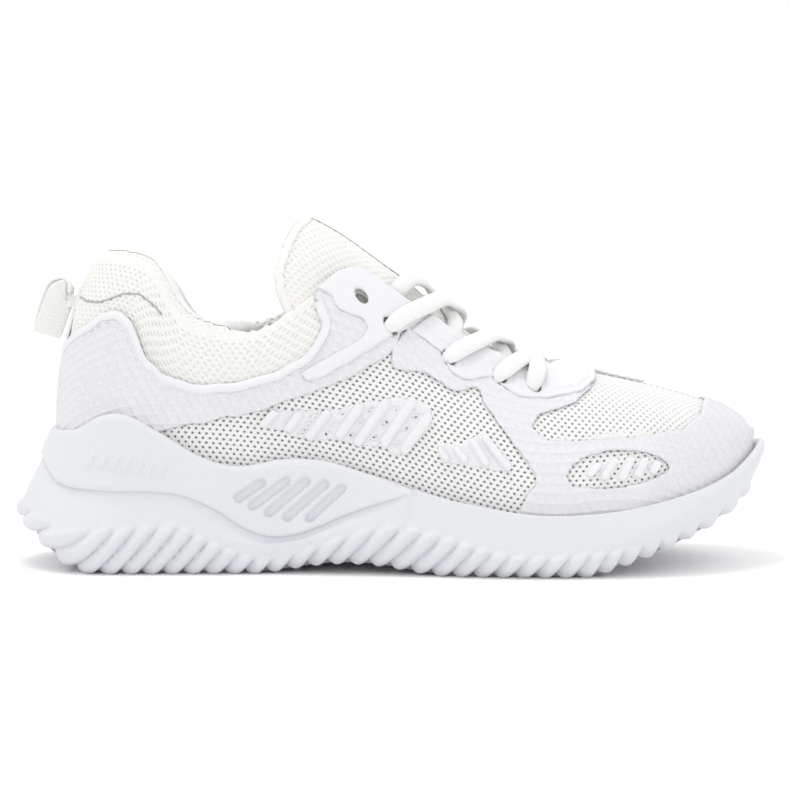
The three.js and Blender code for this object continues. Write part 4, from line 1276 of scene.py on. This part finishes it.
def lining_depth(flat, far):
    at = place(-1, flat[:, 0], flat[:, 1], 0)
    x, z = at[:, 0], at[:, 2]
    pad = 6.5 * ease(rim_height(x) - 42, rim_height(x) - 18, z) * (1 - ease(80, 99, x))
    return -1.9 - np.maximum(pad, 1.7 * (1 - ease(60, 85, x)))


lining = panel("lining_knit",
               lambda one: [lining_outline(one)] + eyelet_holes(one, EYELETS, LINING_HOLE_RADIUS),
               (-1, 1), lining_depth, 0.8, LINING, 1.2)
finished(lining, "lining")


# ---------- insole ----------
INSOLE_GAP = 4.3


def make_insole():
    """The insole's cover, cupped at the heel and raised under the arch."""
    s = np.linspace(0.02, 2.98, 200)
    shares = np.sin(np.linspace(-math.pi / 2, math.pi / 2, 49))
    x, share = plan_station(s, FORM_BACK + INSOLE_GAP, FORM_FRONT - INSOLE_GAP, HEEL_ARC, TOE_ARC)
    grid = []
    for across in shares:
        half = (form_lateral(x) if across < 0 else form_medial(x)) - INSOLE_GAP
        cup = 2.2 * np.abs(across) ** 6 * (1 - ease(150, 220, x))
        arch = 2.4 * ease(0, 1, across) * np.exp(-((x - 118) / 32) ** 2)
        height = bed_height(x) + 5 + cup + arch
        grid.append(np.stack([x, form_middle(x) + across * half * share, height], -1))
    top = np.stack(grid, 1)
    points = top.reshape(-1, 3)
    cover = new_object("insole_cover", points, grid_faces(len(s), len(shares)), INNER)
    return finished(thicken(recalculated(cover), 3.2), "insole")


make_insole()


def tongue_outline(side):
    half = 29 if side < 0 else 26
    edge = [[x, float(form_height(x, side * half))] for x in np.linspace(107.5, 150, 14)]
    toe = [[x, float(form_height(x, side * (half - 12 * (x - 150) / 64)))]
           for x in np.linspace(158, 213, 9)]
    end = [[114.5, 160], [113.8, 142.4], [110.6, 138.5], [106.6, 132], [104, 125.5], [102.8, 120],
           [103, 113.5]]
    return line_of(end, 30) + edge + toe + [[213, 160]]


def tongue_part(obj, nodes=()):
    """A piece of the tongue: hides the CAD pieces it stands in for and bakes its place into its points."""
    if nodes:
        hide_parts(*nodes)
    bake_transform(obj)


def tongue_top(u):
    """The tongue's face lies under the lacing and stands up towards its free end."""
    end_u = UNROLLED[-1].flat([[118, 160]])[0, 0]
    return -6.6 + 4.6 * (1 - ease(end_u - 8, end_u + 32, u))


def tongue_pad_depth(flat, far):
    return tongue_top(flat[:, 0]) - 0.6 - 2.4 * (1 - np.clip(far / 4.0, 0, 1)) ** 2


tongue_pad = panel("tongue_pad", lambda one: [tongue_outline(one)], (-1, 1), tongue_pad_depth, 3.4,
                   MESH_CREAM, 0.8)
for modifier in list(tongue_pad.modifiers):
    with bpy.context.temp_override(object=tongue_pad):
        bpy.ops.object.modifier_apply(modifier=modifier.name)
tongue_part(tongue_pad, ["tongue_flap", "tongue_base"])


def tongue_knit(side):
    outline = UNROLLED[side].flat(tongue_outline(side))

    def keep(centres):
        within = inside(centres, outline) & (centres[:, 1] > (-0.1 if side < 0 else 0.6) * DIMPLE_ROW)
        return within & (nearest_on(centres, outline[1:-1], closed=False)[1] > 1.0)

    def put(u, v, depth):
        far = nearest_on(np.stack([np.abs(u), np.abs(v)], 1), outline[1:-1], closed=False)[1]
        edge = 2.2 * (1 - np.clip(far / 4.0, 0, 1)) ** 2
        return place(side, u, v, tongue_top(np.abs(u)) + depth - edge)

    name = f"tongue_knit_{'lateral' if side < 0 else 'medial'}"
    return knit(name, put, outline.min(0), outline.max(0), keep, DIMPLE_PITCH, DIMPLE_ROW, DIMPLE_HOLE,
                DIMPLE_DEPTHS, MESH_CREAM, pit=True)


for side_name, side in SIDES:
    tongue_part(tongue_knit(side))
    edge = UNROLLED[side].flat(tongue_outline(side))[:-1]
    edge[0, 1] = 0.0
    edge = even_line(edge, 1.0)
    depth = tongue_top(edge[:, 0]) - 1.3
    points, faces = sweep(place(side, edge[:, 0], edge[:, 1], depth),
                          flat_normals(side, edge[:, 0], edge[:, 1]), oval(4.2, 2.6, 18))
    binding = recalculated(new_object(f"tongue_binding_{side_name}", points, faces, MESH_CREAM))
    tongue_part(binding)


# ---------- lace ----------
def at_depth(x, y, depth):
    """A point over the form's upper face, and the way out of the face there."""
    step = 0.5
    z = float(form_height(x, y))
    along = np.array([2 * step, 0, float(form_height(x + step, y) - form_height(x - step, y))])
    over = np.array([0, 2 * step, float(form_height(x, y + step) - form_height(x, y - step))])
    normal = np.cross(along, over)
    normal /= np.linalg.norm(normal)
    return np.array([x, y, z]) + normal * depth, normal


LACE_WIDTH, LACE_THICKNESS = 7.2, 3.3
throat_edge = smooth((135, 19.5), (146, 18.3), (180, 16.8), (200, 14.5), (206, 12))


def strand(name, places, pinched=(True, True)):
    """A flat-oval braided lace through places (x, y, depth), pinched where it enters an eyelet."""
    pairs = [at_depth(*spot) for spot in places]
    path = even_line(curve_through([p for p, _ in pairs], 160), 0.32)
    normals = read_at(np.linspace(0, 1, len(path)), np.linspace(0, 1, len(pairs)), [n for _, n in pairs])
    length = run_length(path)
    count = 32
    turns = np.linspace(0, 2 * math.pi, count + 1)[:-1]
    wide = np.ones(len(path))
    if pinched[0]:
        wide *= 0.7 + 0.3 * ease(1, 8, length)
    if pinched[1]:
        wide *= 0.7 + 0.3 * ease(1, 8, length[-1] - length)
    weave = 0.13 * np.sin(8 * turns[None] + 2 * math.pi * length[:, None] / 2.2) \
        * np.sin(8 * turns[None] - 2 * math.pi * length[:, None] / 2.2)
    width = LACE_WIDTH / 2 * wide[:, None] + weave
    thick = LACE_THICKNESS / 2 * (1.25 - 0.25 * wide[:, None]) + weave
    section = np.stack([width * np.cos(turns), thick * np.sin(turns)], -1)
    points, faces = sweep(path, normals, section)
    return recalculated(new_object(name, points, faces, LACE))


def over_strand(name, start, stop, side, lift):
    """Out of an eyelet, over the ridge and down under the other side's edge, nearer the toe."""
    (from_x, from_y), (to_x, _) = start, stop
    run = to_x + 2 - from_x
    landing = min(to_x + 6, 207)
    far_edge = throat_edge(landing)
    return strand(name, [
        (from_x - 0.4, side * (from_y + 0.3), -1.8),
        (from_x, side * from_y, 1.8),
        (from_x + 0.2 * run, side * (from_y - 3.0), 4.2),
        (from_x + 0.48 * run, side * (from_y - 8.5), 3.9),
        (from_x + 0.78 * run, side * 8.5, 0.6 + lift),
        (from_x + run, side * 1.5, -1.4 + lift),
        (from_x + 1.12 * run, -side * 6, -1.8 + lift),
        (landing - 1.5, -side * (far_edge - 4.5), -3.0),
        (landing, -side * (far_edge + 1), -4.2),
        (landing, -side * (far_edge + 4), -4.6),
    ], (True, False))


rows = EYELETS[1:]
laces = []
for k in range(3):
    for side_name, side in SIDES:
        lift = 1.7 if side < 0 else -1.3
        laces.append(over_strand(f"lace_{k}_{side_name}", rows[k], rows[k + 1], side, lift))
toe_x, toe_y = rows[3]
laces.append(strand("lace_toe", [
    (toe_x - 0.4, -(toe_y + 0.3), -1.8), (toe_x, -toe_y, 1.8), (toe_x + 0.8, -(toe_y - 3.5), 4.6),
    (toe_x + 1.4, -(toe_y - 9), 3.8), (toe_x + 1.6, -5, 1.6), (toe_x + 1.6, 2, 1.0), (toe_x + 1.6, 9, 2.2),
    (toe_x + 1.2, toe_y - 6, 4.4), (toe_x + 0.8, toe_y - 3, 4.2), (toe_x, toe_y, 1.8),
    (toe_x - 0.4, toe_y + 0.3, -1.8)]))
laces.append(strand("lace_top", [
    (147, -22.5, -4.6), (150, -19.5, -3.8), (153, -15, -1.4), (157, -8, -0.4), (162, -1, -0.6),
    (166.5, 6, -0.8), (170, 12, 1.6), (171, 19, 3.8), (170.4, 24.5, 1.8), (170, 24.8, -1.8)], (False, True)))
for obj in laces:
    finished(obj, "lace")


# ---------- pull tab ----------
TAB_TWIST, TAB_WIDTH, TAB_OPENING, TAB_THICKNESS = 1.35, 11.6, 7.0, 1.5
TAB_LINE = [[20.2, 109.4], [18.2, 109.8], [16, 107.2], [14, 102], [12.2, 96.5], [10.8, 92]]


def make_pull_tab():
    """A loop of ribbed tape drawn out from the heel and twisted, as in the CAD."""
    turns = np.linspace(0, 1, 321)[:-1]
    share = (1 - np.cos(2 * math.pi * turns)) / 2
    fine = curve_through(TAB_LINE, 400)
    middle = read_at(share, np.linspace(0, 1, len(fine)), fine)
    away = read_at(share, np.linspace(0, 1, len(fine)), np.gradient(fine, axis=0))
    away /= np.linalg.norm(away, axis=1, keepdims=True)
    along = np.stack([away[:, 0], 0 * share, away[:, 1]], 1)
    twist = TAB_TWIST * ease(0.0, 0.4, share)
    wide = np.stack([-away[:, 1] * np.sin(twist), np.cos(twist), away[:, 0] * np.sin(twist)], 1)
    flat = np.cross(along, wide)
    centre = np.stack([middle[:, 0], 0 * share, middle[:, 1]], 1)
    centre += flat * (TAB_OPENING / 2 * np.sin(2 * math.pi * turns))[:, None]
    closer = np.linspace(0, 1, 641)[:-1]
    centre = read_at(closer, turns, centre, period=1)
    wide = read_at(closer, turns, wide, period=1)
    step = np.linalg.norm(np.roll(centre, -1, 0) - centre, axis=1)
    length = np.concatenate([[0], np.cumsum(step)[:-1]])
    ribs = round(step.sum() / 1.35)
    rib = 0.13 * np.sin(2 * math.pi * ribs * length / step.sum())
    path = np.roll(centre, -1, 0) - np.roll(centre, 1, 0)
    through = np.cross(path, wide)
    half, thick = TAB_WIDTH / 2, TAB_THICKNESS / 2
    places = [(-1, -0.35), (-1, 0.35)] + [(t, 1) for t in np.linspace(-0.95, 0.95, 9)] \
        + [(1, 0.35), (1, -0.35)] + [(t, -1) for t in np.linspace(0.95, -0.95, 9)]
    section = np.zeros((len(centre), len(places), 2))
    for k, (across, out) in enumerate(places):
        inner = abs(across) < 0.85
        section[:, k, 0] = across * half
        section[:, k, 1] = out * thick + (np.sign(out) * rib if inner else 0)
    points, faces = sweep(centre, through, section, closed=True)
    loop = recalculated(new_object("pull_tape", points, faces, TAPE))
    return finished(loop, "pull_tab", "pull_tab")


make_pull_tab()


# ---------- finishes of the hidden CAD pieces ----------
HIDDEN = {
    "strobel_board": grained("board_grey", (0.7, 0.69, 0.66), (0.6, 0.59, 0.56), 0.95, 1400, 0.4),
    "heel_counter": grained("counter_grey", (0.66, 0.65, 0.62), (0.58, 0.57, 0.54), 0.7, 1200, 0.2),
    "toe_puff": grained("puff_grey", (0.7, 0.7, 0.68), (0.62, 0.62, 0.6), 0.75, 1200, 0.2),
}
for name, surface in HIDDEN.items():
    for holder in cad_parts[name].material_slots:
        holder.material = surface
